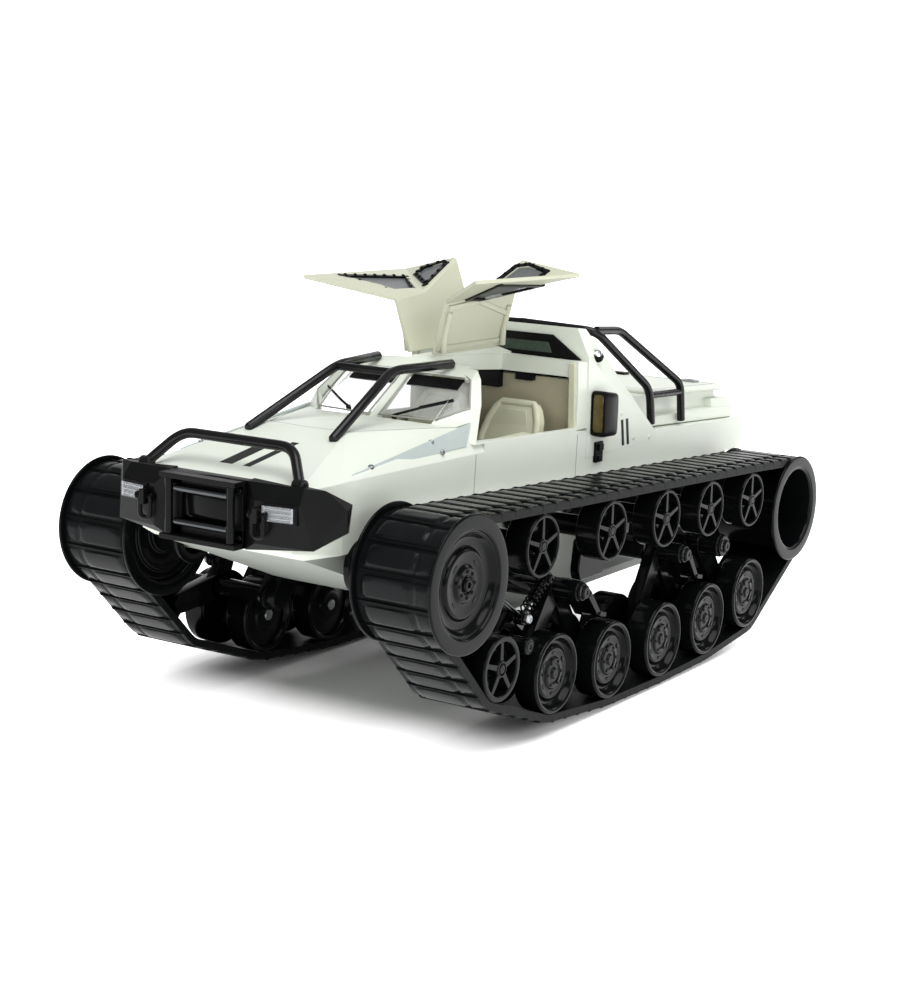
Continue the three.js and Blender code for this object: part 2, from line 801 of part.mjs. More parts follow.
// ---- bumper, recovery gear and bars ----
const wing = hull([
  [296, 27.5, 160],
  [286, 27.5, 161.5],
  [286, 73, 158.8],
  [291, 62, 159.2],
  [301, 36, 151],
  [296.5, 63.5, 150.6],
  [278, 82, 147.5],
  [278, 82, 136],
  [271, 80, 150],
  [271, 78, 134],
  [292, 70, 126],
  [300.5, 36, 127],
  [298, 27.5, 122],
  [284, 27.5, 122],
]);
const lug = cut(box(297, 306.6, 38.8, 42, 139.6, 148), pin(303.4, 143.8, 1.9, 30, 50));
const bumper = cut(
  join(both(wing), box(284, 296, -30, 30, 122, 160), both(lug)),
  nose.translate([GAP, 0, 0]),
  faceted([
    [120, 66.4, 110],
    [262, 65.4, 110],
    [291, 56.4, 110],
    [120, 66.4, 170],
    [262, 65.4, 170],
    [290.35, 56.4, 170],
  ]),
);
node("front_bumper", bumper, BLACK);

const BULL_R = 2.6;
const HOOD_R = 2.9;
const CAGE_R = 2.9;
node(
  "bull_bar",
  bar([[285.5, 55, 159.2], [272, 40, 176.8], [272, -40, 176.8], [285.5, -55, 159.2]], BULL_R, 9),
  BLACK,
);
const hoodBar = bar([[212, 29.2, 179.9], [151.7, 20.2, 206.4], [98.6, 28.1, 206.5]], HOOD_R, 9);
const hoodCross = bar([[153, -19.4, 205.6], [153, 19.4, 205.6]], 2.2);
node("hood_bars", join(both(hoodBar), hoodCross), BLACK);

const cageFront = bar([[-30, 0, 220.9], [-36, 54, 218.7], [-102.5, 61.4, 174], [-106, 61.8, 149.4]], CAGE_R, 9);
const cageRear = bar([[-40, 52, 218.7], [-74, 51, 216.2], [-149, 61.4, 173.4], [-152, 61.8, 146.6]], CAGE_R, 7);
const cageTie = bar([[-103, 61.2, 169.5], [-149.2, 61.4, 167.5]], 2.4);
node("rear_cage", both(join(cageFront, cageRear, cageTie)), BLACK);

const fairlead = join(
  cut(box(296.4, 299.4, -27, 27, 122.4, 160), box(290, 306, -16.5, 16.5, 133, 152)),
  box(296.4, 307, -27, 27, 122.4, 124.6),
  box(296.4, 307, -27, 27, 157.8, 160),
);
node("fairlead_frame", fairlead, BLACK);
pair("fairlead_roller", solid(new THREE.CylinderGeometry(2.5, 2.5, 32.4, 12).rotateX(Math.PI / 2).translate(304, 22.2, 141.2)), BLACK);
node("fairlead_bar_top", pin(302.6, 151.4, 2.1, -19.2, 19.2, 12), STEEL);
node("fairlead_bar_bottom", pin(302.6, 132.4, 2.1, -19.2, 19.2, 12), STEEL);

const shackle = join(
  bar([[303.4, 36.6, 143.8], [303.4, 36.6, 131.5], [303.4, 44.2, 131.5], [303.4, 44.2, 143.8]], 1.4, 3.6),
  pin(303.4, 143.8, 1.5, 34.4, 46.4),
);
pair("shackle", shackle, STEEL);

const intake = cut(
  hull([
    [-13, 66.5, 152],
    [-13, 75, 154],
    [-13, 66.5, 183],
    [-13, 74.6, 181],
    [-34, 66.5, 151],
    [-34, 74, 153],
    [-34, 66.5, 179],
    [-34, 73.6, 177],
  ]),
  box(-28, -10, 67.6, 72.4, 156.5, 178.5),
);
pair("side_intake", intake, BLACK);

export default part;
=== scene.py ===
"""The looks of a radio-controlled tracked off-road vehicle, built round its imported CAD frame.

Lengths are millimetres from the vehicle's datum: x from the middle road wheel's axle, +y to the left,
and z from a level just above the ground. at() turns them into metres in the frame.
"""

import math

import bmesh
import bpy
from mathutils import Matrix, Vector
from mathutils.bvhtree import BVHTree


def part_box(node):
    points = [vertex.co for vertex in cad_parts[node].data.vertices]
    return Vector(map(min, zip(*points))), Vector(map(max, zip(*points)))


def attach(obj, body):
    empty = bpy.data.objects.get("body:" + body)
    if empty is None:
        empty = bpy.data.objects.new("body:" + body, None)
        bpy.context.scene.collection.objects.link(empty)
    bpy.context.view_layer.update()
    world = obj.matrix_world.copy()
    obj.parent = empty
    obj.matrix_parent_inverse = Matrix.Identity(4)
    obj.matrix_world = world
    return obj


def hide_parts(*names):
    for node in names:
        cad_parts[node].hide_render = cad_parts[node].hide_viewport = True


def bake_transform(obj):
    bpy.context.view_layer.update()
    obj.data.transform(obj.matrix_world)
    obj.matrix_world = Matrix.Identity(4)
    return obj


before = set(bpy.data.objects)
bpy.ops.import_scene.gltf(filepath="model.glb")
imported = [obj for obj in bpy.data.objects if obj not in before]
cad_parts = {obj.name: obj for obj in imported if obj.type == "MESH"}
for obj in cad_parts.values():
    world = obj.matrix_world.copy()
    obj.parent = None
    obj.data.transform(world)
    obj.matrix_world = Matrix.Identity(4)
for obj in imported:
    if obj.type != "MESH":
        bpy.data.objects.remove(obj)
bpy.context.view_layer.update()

# ---- the datum, and sizes read from the frame ----
MM = 0.001
AXLE_HEIGHT = 27.7  # the middle road wheel's axle above the datum
SIDES = ((1, "left"), (-1, "right"))


def centre_of(node):
    low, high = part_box(node)
    return (low + high) / 2


MIDDLE_WHEEL = centre_of("road_wheel_3_left")
DATUM = Vector((MIDDLE_WHEEL.x, 0, MIDDLE_WHEEL.z - AXLE_HEIGHT * MM))


def at(x, y, z):
    return DATUM + Vector((x, y, z)) * MM


def wheel_of(node):
    """A wheel's axle place and radius, and its inner and outer face, in millimetres, on the left side."""
    low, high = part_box(node)
    middle = ((low + high) / 2 - DATUM) / MM
    radius = (high.x - low.x) / 2 / MM
    return middle.x, middle.z, radius, low.y / MM, high.y / MM


# ---- materials ----
UNEVEN = 0.06  # how far the gloss drifts either way
GRAIN_DEPTH = 0.0004  # metres


def shade(tree, kind, **inputs):
    """A new shader node. An input's name is given with its spaces as underscores."""
    made = tree.nodes.new(kind)
    for name, value in inputs.items():
        made.inputs[name.replace("_", " ")].default_value = value
    return made


def material(name, colour, rough, spread=0.08, scale=60.0, bump=0.04, bump_scale=900.0, metal=0.0,
             edge=0.0, wear=0.0, gleam=0.5):
    """A surface with soft colour drift, uneven gloss and fine grain, its edges rounded by edge metres."""
    made = bpy.data.materials.new(name)
    made.use_nodes = True
    tree, links = made.node_tree, made.node_tree.links
    shader = tree.nodes["Principled BSDF"]
    shader.inputs["Metallic"].default_value = metal
    shader.inputs["Specular IOR Level"].default_value = gleam
    place = shade(tree, "ShaderNodeTexCoord")
    drift = shade(tree, "ShaderNodeTexNoise", Scale=scale, Detail=5.0)
    links.new(place.outputs["Object"], drift.inputs["Vector"])
    tint = shade(tree, "ShaderNodeValToRGB")
    tint.color_ramp.elements[0].position = 0.3
    tint.color_ramp.elements[1].position = 0.7
    tint.color_ramp.elements[0].color = (*(c * (1 - spread) for c in colour), 1)
    tint.color_ramp.elements[1].color = (*(min(1, c * (1 + spread)) for c in colour), 1)
    links.new(drift.outputs["Fac"], tint.inputs["Fac"])
    links.new(tint.outputs["Color"], shader.inputs["Base Color"])
    gloss = shade(tree, "ShaderNodeMapRange", To_Min=max(0.02, rough - UNEVEN - wear), To_Max=rough + UNEVEN)
    smear = shade(tree, "ShaderNodeTexNoise", Scale=scale * 2.7, Detail=3.0)
    links.new(place.outputs["Object"], smear.inputs["Vector"])
    links.new(smear.outputs["Fac"], gloss.inputs["Value"])
    links.new(gloss.outputs["Result"], shader.inputs["Roughness"])
    grain = shade(tree, "ShaderNodeTexNoise", Scale=bump_scale, Detail=2.0)
    links.new(place.outputs["Object"], grain.inputs["Vector"])
    relief = shade(tree, "ShaderNodeBump", Strength=bump, Distance=GRAIN_DEPTH)
    links.new(grain.outputs["Fac"], relief.inputs["Height"])
    if edge:
        rounding = shade(tree, "ShaderNodeBevel", Radius=edge)
        rounding.samples = 4
        links.new(rounding.outputs["Normal"], relief.inputs["Normal"])
    links.new(relief.outputs["Normal"], shader.inputs["Normal"])
    return made


def clear(name, colour, alpha, rough=0.04):
    made = material(name, colour, rough, spread=0.02, bump=0.01)
    shader = made.node_tree.nodes["Principled BSDF"]
    shader.inputs["Alpha"].default_value = alpha
    shader.inputs["Specular IOR Level"].default_value = 0.6
    return made


WHITE = material("body_white", (0.675, 0.715, 0.635), 0.38, spread=0.015, scale=14, bump=0.02, edge=0.0007)
CREAM = material("door_cream", (0.52, 0.53, 0.41), 0.42, spread=0.02, scale=14, bump=0.02, edge=0.0007)
TRIM_CREAM = material("cabin_cream", (0.56, 0.56, 0.42), 0.5, spread=0.03, scale=30, bump=0.05,
                      bump_scale=1500)
BACK_TAN = material("cabin_tan", (0.44, 0.41, 0.29), 0.55, spread=0.05, scale=30, bump=0.05)
# Painted shade: the lower hull is the same pale white as the body, darkened here to stand in for the shadow
# it lies in between the belts.
HULL_PAINTED_SHADE = material("hull_painted_shade", (0.30, 0.32, 0.29), 0.45, spread=0.03, scale=20, bump=0.03, edge=0.0007)
BLACK = material("gear_black", (0.0022, 0.0025, 0.0027), 0.15, spread=0.2, scale=30, bump=0.02,
                 edge=0.0003, gleam=0.10)
SATIN = material("bumper_black", (0.0028, 0.0030, 0.0031), 0.36, spread=0.2, scale=60, bump=0.12,
                 edge=0.0006, gleam=0.11)
BAR = material("bar_black", (0.0044, 0.0046, 0.0048), 0.26, spread=0.2, scale=50, bump=0.02, gleam=0.26)
RUBBER = material("belt_rubber", (0.0030, 0.0034, 0.0037), 0.42, spread=0.2, scale=90, bump=0.18,
                  bump_scale=1300, gleam=0.07)
PAD = material("belt_pad", (0.0050, 0.0056, 0.0061), 0.25, spread=0.15, scale=50, bump=0.06,
               bump_scale=1100, wear=0.04, gleam=0.12)
STEEL = material("bright_steel", (0.36, 0.37, 0.39), 0.30, spread=0.08, bump=0.06, bump_scale=2200, metal=1.0)
DARK_STEEL = material("dark_steel", (0.075, 0.080, 0.085), 0.20, spread=0.1, bump=0.04, bump_scale=2200,
                      metal=1.0)
CHROME = material("chrome", (0.80, 0.81, 0.83), 0.10, spread=0.04, bump=0.01, metal=1.0)
PLATE = material("trim_plate", (0.43, 0.49, 0.475), 0.30, spread=0.02, scale=200, bump=0.04, bump_scale=2500)
GREEN = material("bulkhead_green", (0.022, 0.040, 0.026), 0.35, spread=0.35, scale=300, bump=0.04)
AMBER = material("intake_amber", (0.085, 0.060, 0.008), 0.26, spread=0.45, scale=90, bump=0.10,
                 bump_scale=700)
WRAP = material("pack_wrap", (0.03, 0.05, 0.10), 0.5, spread=0.2, bump=0.1)
GROOVE = material("panel_line", (0.30, 0.31, 0.28), 0.7, spread=0.1)
SCREEN = clear("clear_screen", (0.55, 0.57, 0.56), 0.34)
LENS = clear("lamp_lens", (0.42, 0.44, 0.46), 0.22, 0.03)
MESH_PANE = material("mesh_pane", (0.115, 0.125, 0.125), 0.34, spread=0.6, scale=1600, bump=0.5,
                     bump_scale=1600)


# ---- mesh work ----
def curve(a, p, b, t):
    """The point at t on the smooth curve from a to b that leans towards p."""
    return a * (1 - t) ** 2 + p * 2 * t * (1 - t) + b * t * t


def soften(points, reach):
    """A closed outline with each clear corner replaced by a short curve that starts reach from it."""
    made = []
    count = len(points)
    for i, p in enumerate(points):
        p = Vector(p)
        back, on = Vector(points[i - 1]) - p, Vector(points[(i + 1) % count]) - p
        if back.length < 1e-6 or on.length < 1e-6 or back.angle(on) > math.radians(155):
            made.append(p)
            continue
        a = p + back.normalized() * min(reach, 0.45 * back.length)
        b = p + on.normalized() * min(reach, 0.45 * on.length)
        made += [curve(a, p, b, t) for t in (0, 1 / 3, 2 / 3, 1)]
    return [tuple(p) for p in made]


def frame_along(path):
    """At each point of a path: the point, and two directions square to the path that turn with it."""
    points = [Vector(p) for p in path]
    last = len(points) - 1
    made, side = [], None
    for i, p in enumerate(points):
        ahead = (points[min(i + 1, last)] - points[max(i - 1, 0)]).normalized()
        if side is None:
            side = ahead.orthogonal().normalized()
        side = (side - ahead * side.dot(ahead)).normalized()
        made.append((p, side, ahead.cross(side)))
    return made


def bent(corners, reach, steps=6):
    """A path through corners, each turned with a smooth curve that starts reach before it."""
    points = [Vector(c) for c in corners]
    made = [points[0]]
    for before, p, after in zip(points, points[1:], points[2:]):
        back, on = before - p, after - p
        a = p + back.normalized() * min(reach, 0.45 * back.length)
        b = p + on.normalized() * min(reach, 0.45 * on.length)
        made += [curve(a, p, b, k / steps) for k in range(steps + 1)]
    return made + [points[-1]]


class Mould:
    """Collects closed shapes into one mesh. Shapes are given for the left side, and side -1 mirrors them."""

    def __init__(self, side=1):
        self.bm = bmesh.new()
        self.side = side
        self.materials = []
        self.paint = 0
        self.place = Matrix.Identity(4)

    def use(self, made):
        if made not in self.materials:
            self.materials.append(made)
        self.paint = self.materials.index(made)
        return self

    def put(self, point):
        x, y, z = self.place @ Vector(point)
        return self.bm.verts.new(at(x, y * self.side, z))

    def loft(self, rings, closed=False, looped=True, paints=None):
        """Skins rings of points. A closed loft joins its last ring to its first, others are capped."""
        rows = [[self.put(p) for p in ring] for ring in rings]
        count = len(rows[0])
        for i in range(len(rows) if closed else len(rows) - 1):
            below, above = rows[i], rows[(i + 1) % len(rows)]
            for j in range(count if looped else count - 1):
                k = (j + 1) % count
                face = self.bm.faces.new((below[j], below[k], above[k], above[j]))
                face.material_index = paints[i][j] if paints else self.paint
        if not closed:
            for row in (rows[0], rows[-1]):
                self.bm.faces.new(row).material_index = self.paint
        return self

    def lathe(self, x, z, profile, count=64, reach=0.35):
        """Turned about the level axis through (x, z). The profile holds (radius, y) and closes on itself."""
        outline = soften([(r, y, 0) for r, y in profile], reach) if reach else [(r, y, 0) for r, y in profile]
        rings = []
        for k in range(count):
            a = 2 * math.pi * k / count
            c, s = math.cos(a), math.sin(a)
            rings.append([(x + max(r, 0.01) * c, y, z + max(r, 0.01) * s) for r, y, _ in outline])
        return self.loft(rings, closed=True)

    def prism(self, outline, y0, y1, reach=0.0, crown=0.4):
        """A plate in the XZ plane from y0 to y1, with its two rims chamfered by crown."""
        flat = [(x, z) for x, z in outline]
        if reach:
            flat = [(p[0], p[1]) for p in soften([(x, z, 0) for x, z in flat], reach)]
        cx = sum(p[0] for p in flat) / len(flat)
        cz = sum(p[1] for p in flat) / len(flat)
        span = max(math.hypot(x - cx, z - cz) for x, z in flat)
        shrink = 1 - crown / span
        inner = [(cx + (x - cx) * shrink, cz + (z - cz) * shrink) for x, z in flat]
        levels = ((inner, y0), (flat, y0 + crown), (flat, y1 - crown), (inner, y1))
        return self.loft([[(x, y, z) for x, z in ring] for ring, y in levels])

    def hull(self, points):
        verts = [self.put(p) for p in points]
        made = bmesh.ops.convex_hull(self.bm, input=verts)
        for item in made["geom"]:
            if isinstance(item, bmesh.types.BMFace):
                item.material_index = self.paint
        spare = [v for v in made["geom_interior"] + made["geom_unused"] if isinstance(v, bmesh.types.BMVert)]
        bmesh.ops.delete(self.bm, geom=list(set(spare)), context="VERTS")
        return self

    def block(self, x0, x1, y0, y1, z0, z1):
        return self.hull([(x, y, z) for x in (x0, x1) for y in (y0, y1) for z in (z0, z1)])

    def tube(self, path, radius, sides=16, dome=0.35):
        """A round bar along a path, with its ends drawn in a little."""
        ways = frame_along(path)
        rings = []
        for n, (p, u, v) in enumerate(ways):
            sizes = [radius]
            if n == 0:
                sizes = [radius * 0.7, radius]
            if n == len(ways) - 1:
                sizes = [radius, radius * 0.7]
            ahead = u.cross(v)
            for m, size in enumerate(sizes):
                shift = 0
                if len(sizes) == 2:
                    shift = -dome * (1 - m) if n == 0 else dome * m
                rings.append([
                    p + ahead * shift + (u * math.cos(a) + v * math.sin(a)) * size
                    for a in (2 * math.pi * k / sides for k in range(sides))
                ])
        return self.loft(rings)

    def screw(self, where, facing, radius=2.6, tall=1.5, head=None):
        """A domed screw head with a six-sided socket, standing on where."""
        turn = Vector((0, 0, 1)).rotation_difference(Vector(facing)).to_matrix().to_4x4()
        kept = self.place
        self.place = kept @ Matrix.Translation(Vector(where)) @ turn
        if head:
            self.use(head)
        turns = [math.pi * k / 12 for k in range(24)]
        rings = []
        for share, h in ((1, -0.6), (1, tall * 0.45), (0.8, tall * 0.9), (0.55, tall)):
            r = radius * share
            rings.append([(r * math.cos(a), r * math.sin(a), h) for a in turns])
        bore = radius * 0.46
        for h in (tall, tall * 0.3):
            ring = []
            for a in turns:
                r = bore * math.cos(math.pi / 6) / math.cos((a + math.pi / 6) % (math.pi / 3) - math.pi / 6)
                ring.append((r * math.cos(a), r * math.sin(a), h))
            rings.append(ring)
        self.loft(rings)
        self.place = kept
        return self

    def done(self, name, body, slot, bevel=0.0, sharp=38, replaces=(), bend=None):
        bmesh.ops.remove_doubles(self.bm, verts=self.bm.verts, dist=2e-6)
        bmesh.ops.dissolve_degenerate(self.bm, dist=1e-7, edges=self.bm.edges)
        bmesh.ops.recalc_face_normals(self.bm, faces=self.bm.faces)
        for face in self.bm.faces:
            face.smooth = True
        for edge in self.bm.edges:
            if len(edge.link_faces) == 2:
                edge.smooth = edge.calc_face_angle(0) < math.radians(sharp)
        mesh = bpy.data.meshes.new(name)
        self.bm.to_mesh(mesh)
        self.bm.free()
        for made in self.materials:
            mesh.materials.append(made)
        piece = bpy.data.objects.new(name, mesh)
        bpy.context.scene.collection.objects.link(piece)
        if bevel:
            soft = piece.modifiers.new("edges", "BEVEL")
            soft.width = bevel * MM
            soft.segments = 2
            soft.limit_method = "ANGLE"
            soft.angle_limit = math.radians(32)
            soft.harden_normals = True
        if bend:
            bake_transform(piece)
        else:
            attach(piece, body)
        if replaces:
            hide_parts(*replaces)
        return piece


# ---- running gear: belts ----
BELT_PITCH = 15.0
BELT_GAP = 0.35
BARREL_R = 31.0
WEB, RIB, CUSHION, LUG = 4.6, 5.9, 5.75, 5.5
RIB_SPAN, CUSHION_SPAN, LUG_SPAN = (84.3, 132.5), (88.0, 120.6), (122.4, 131.6)
ROWS = (0.0, 0.02, 0.05, 0.09, 0.12, 0.16, 0.20, 0.25, 0.32, 0.58, 0.84, 0.90, 0.94, 0.975)
COLUMNS = (
    83.65, 84.3, 86.0, 87.0, 88.0, 89.5, 92, 98, 106, 114, 117.5, 119.4, 120.8, 122, 123.2, 124.4, 126,
    128.5, 130.4, 131.4,
    132.5, 133.05,
)


def ramp(value, start, end):
    t = min(1, max(0, (value - start) / (end - start)))
    return t * t * (3 - 2 * t)


def window(value, low, high, soft):
    return ramp(value, low - soft, low + soft) * (1 - ramp(value, high - soft, high + soft))


def belt_height(u, y):
    """How far the outer face stands above the inner: a thin bar, an eight-sided cushion and a slanted lug."""
    rim = window(y, *RIB_SPAN, 0.6)
    bar = (RIB - WEB) * window(u, 0.035, 0.105, 0.015) * rim
    cut = 0.09 * ramp(abs(y - 104.2), 12.5, 16.5)
    cushion = (CUSHION - WEB) * window(u, 0.20 + cut, 0.92 - cut, 0.03) * window(y, *CUSHION_SPAN, 0.9)
    slant = 0.12 * (y - 123.0) / 8
    lug = (LUG - WEB) * window(u, 0.22 + slant, 0.90, 0.03) * window(y, *LUG_SPAN, 0.7)
    crown = 0.25 * (1 - ((u - 0.56) / 0.5) ** 2) * window(u, 0.2, 0.92, 0.05) * window(y, *CUSHION_SPAN, 2)
    return WEB + max(bar, cushion, lug) + max(0, crown) * 0.6


def belt_rims(label):
    """The circles that the belt's inner face runs round, with the bodies that carry them."""
    def rim(node, body, radius=None):
        x, z, r, _, _ = wheel_of(node + "_" + label)
        return {"x": x, "z": z, "r": (radius or r) + BELT_GAP, "body": body}

    rims = [rim("drive_drum", "chassis", BARREL_R)]
    rims += [rim(f"return_roller_{i}", "chassis") for i in range(1, 6)]
    rims.append(rim("idler_drum", "chassis", BARREL_R))
    carriers = {5: "rear_arm", 4: "bogie_rocker_2", 3: "bogie_rocker_2", 2: "bogie_rocker_1",
                1: "bogie_rocker_1"}
    rims += [rim(f"road_wheel_{i}", f"{carriers[i]}_{label}") for i in (5, 4, 3, 2, 1)]
    rims.append(rim("tension_wheel", f"front_swing_arm_{label}"))
    return rims


def belt_line(rims):
    """The belt's inner face as (x, z, outward angle) along its arcs, and the length run up to each."""
    def leave(a, b):
        dx, dz = b["x"] - a["x"], b["z"] - a["z"]
        return math.atan2(dz, dx) - math.pi / 2 + math.asin((a["r"] - b["r"]) / math.hypot(dx, dz))

    points = []
    count = len(rims)
    for i, rim in enumerate(rims):
        start = leave(rims[i - 1], rim)
        sweep = (leave(rim, rims[(i + 1) % count]) - start) % (2 * math.pi)
        sweep = 0 if sweep > 1.9 * math.pi else sweep
        steps = max(1, round(math.degrees(sweep) / 2))
        for k in range(steps + 1):
            a = start + sweep * k / steps
            points.append((rim["x"] + rim["r"] * math.cos(a), rim["z"] + rim["r"] * math.sin(a), a))
    stations = [0.0]
    for i, p in enumerate(points):
        q = points[(i + 1) % len(points)]
        stations.append(stations[-1] + math.hypot(q[0] - p[0], q[1] - p[1]))
    return points, stations


def belt_point(points, stations, s):
    s = s % stations[-1]
    low, high = 0, len(stations) - 1
    while high - low > 1:
        middle = (low + high) // 2
        low, high = (middle, high) if stations[middle] <= s else (low, middle)
    t = (s - stations[low]) / max(1e-9, stations[low + 1] - stations[low])
    p, q = points[low], points[(low + 1) % len(points)]
    turn = (q[2] - p[2] + math.pi) % (2 * math.pi) - math.pi
    return p[0] + (q[0] - p[0]) * t, p[1] + (q[1] - p[1]) * t, p[2] + turn * t


def belt_zones(rims):
    """Stretches of the lower run, rear to front, as (x behind, x ahead, body behind, body ahead)."""
    wheels = [r for r in rims if r["body"] != "chassis"]
    rear, front = rims[6], rims[0]
    groups = []
    for wheel in wheels:
        if groups and groups[-1][0] == wheel["body"]:
            groups[-1][2] = wheel["x"]
        else:
            groups.append([wheel["body"], wheel["x"], wheel["x"]])
    zones = []
    for i, (body, behind, ahead) in enumerate(groups):
        before = (groups[i - 1][2] + behind) / 2 if i else (rear["x"] + behind) / 2
        after = (ahead + groups[i + 1][1]) / 2 if i + 1 < len(groups) else (ahead + front["x"]) / 2
        zones.append((before, behind, "chassis", body))
        zones.append((behind, ahead, body, body))
        zones.append((ahead, after, body, "chassis"))
    return zones


def build_belt(side, label):
    rims = belt_rims(label)
    points, stations = belt_line(rims)
    links = round(stations[-1] / BELT_PITCH)
    zones = belt_zones(rims)
    mid_height = (rims[0]["z"] + rims[6]["z"]) / 2 - 20

    def zone_of(link):
        x, z, a = belt_point(points, stations, (link + 0.5) * stations[-1] / links)
        if math.sin(a) > 0 or z > mid_height:
            return None
        for n, (low, high, _, _) in enumerate(zones):
            if low <= x < high:
                return n
        return None

    owners = [zone_of(k) for k in range(links)]
    start = next(k for k in range(links) if owners[k] != owners[k - 1])
    runs = []
    for k in range(start, start + links):
        if runs and runs[-1][0] == owners[k % links]:
            runs[-1][1].append(k)
        else:
            runs.append([owners[k % links], [k]])
    for number, (zone, members) in enumerate(runs):
        mould = Mould(side).use(PAD).use(RUBBER)
        rings, paints = [], []
        stops = [(k, u) for k in members for u in ROWS] + [(members[-1] + 1, 0.0)]
        for k, u in stops:
            x, z, a = belt_point(points, stations, (k + u) * stations[-1] / links)
            ring = [(x, COLUMNS[0], z)]
            for y in COLUMNS:
                h = belt_height(u, y)
                ring.append((x + h * math.cos(a), y, z + h * math.sin(a)))
            rings.append(ring + [(x, COLUMNS[-1], z)])
            padded = 0.20 <= u < 0.90
            row = [1] + [int(not (padded and 87.5 < y < 131)) for y in COLUMNS] + [1]
            paints.append(row)
        mould.loft(rings, paints=paints)
        name = f"belt_{label}_{number}"
        replaced = (f"track_belt_{label}",) if number == 0 else ()
        bend, body = None, "chassis"
        if zone is not None:
            low, high, behind, ahead = zones[zone]
            body = behind
            if behind != ahead:
                bend = (behind, ahead, tuple(at(low, 0, 0)), tuple(at(high, 0, 0)))
        mould.done(name, body, "belt_rubber", sharp=50, replaces=replaced, bend=bend)


# ---- running gear: wheels ----
def ring_of_bolts(mould, x, z, radius, count, y, size, tall=1.0, turn=0.0):
    for k in range(count):
        a = turn + 2 * math.pi * k / count
        mould.screw((x + radius * math.cos(a), y, z + radius * math.sin(a)), (0, 1, 0), size, tall)


def oval_pits(mould, x, z, radius, count, y, long, wide, deep=1.2):
    """Dark oval pits let into a face: short raised rims with a sunk floor."""
    for k in range(count):
        mid = 2 * math.pi * (k + 0.5) / count
        outline = []
        for n in range(16):
            t = 2 * math.pi * n / 16
            a = mid + long * math.cos(t) / radius
            r = radius + wide * math.sin(t)
            outline.append((x + r * math.cos(a), z + r * math.sin(a)))
        mould.prism(outline, y - deep, y + 0.25, crown=0.2)


def build_drive_drum(side, label):
    x, z, r, inside, face = wheel_of("drive_drum_left")
    mould = Mould(side).use(BLACK)
    mould.lathe(x, z, [
        (4.4, inside + 3.6), (10, inside + 3.6), (10.6, inside + 1.4), (13.2, inside + 1.4),
        (13.8, inside + 4.2),
        (21.6, inside + 4.2), (22.2, inside + 2.4), (24.4, inside + 2.4), (25.0, inside + 4.2),
        (30.2, inside + 4.2),
        (30.8, inside + 0.8), (32.4, inside), (r, inside), (r, inside + 1.6), (BARREL_R, inside + 1.6),
        (BARREL_R, face - 1.9), (r - 0.3, face - 1.9), (r, face - 0.8), (r - 0.7, face), (31.2, face),
        (30.6, face - 0.5), (30.2, face - 1.6), (29.2, face - 1.9), (28.6, face - 1.5), (28.0, face - 2.6),
        (26.2, face - 4.9), (22.0, face - 5.7), (20.6, face - 5.4), (19.6, face - 3.6), (18.4, face - 3.1),
        (15.0, face - 3.7), (11.2, face - 4.0), (10.2, face - 2.8), (9.4, face - 2.2), (5.6, face - 2.2),
        (5.0, face - 3.2), (0.0, face - 3.2), (0.0, 103), (4.4, 103),
    ], count=120, reach=0.7)
    ring_of_bolts(mould, x, z, 7.4, 8, face - 2.4, 1.15, 0.9)
    oval_pits(mould, x, z, 14.6, 4, face - 3.7, 2.6, 0.9)
    mould.lathe(x, z, [(0, face - 3.6), (4.4, face - 3.6), (4.4, face - 1.6), (3.4, face - 0.8),
                       (1.9, face - 0.8), (1.7, face - 2.0), (0, face - 2.0)], count=6, reach=0.2)
    mould.done(f"drum_front_{label}", f"drive_drum_{label}", "gear_black", replaces=(f"drive_drum_{label}",))


def build_idler_drum(side, label):
    x, z, r, inside, face = wheel_of("idler_drum_left")
    mould = Mould(side).use(BLACK)
    mould.lathe(x, z, [
        (4.4, inside + 3.6), (10, inside + 3.6), (10.6, inside + 1.4), (13.2, inside + 1.4),
        (13.8, inside + 4.2),
        (28.0, inside + 4.2), (28.8, inside + 0.8), (30.4, inside), (r, inside), (r, inside + 1.6),
        (BARREL_R, inside + 1.6), (BARREL_R, face - 1.9), (r - 0.3, face - 1.9), (r, face - 0.9),
        (r - 0.8, face),
        (30.4, face), (29.8, face - 0.5), (28.6, face - 0.7), (28.1, face - 2.2), (27.6, 98), (26.6, 97),
        (13, 97), (12, 99.5), (0, 99.5), (0, 94), (4.4, 94),
    ], count=120, reach=0.5)
    for k in range(6):
        a = 2 * math.pi * k / 6
        rib = [(x + q * math.cos(a) + w * math.sin(a), z + q * math.sin(a) - w * math.cos(a))
               for q, w in ((11, -1.2), (26.8, -1.2), (26.8, 1.2), (11, 1.2))]
        mould.prism(rib, 96, 102, crown=0.3)
    mould.done(f"drum_rear_{label}", f"idler_drum_{label}", "gear_black", replaces=(f"idler_drum_{label}",))


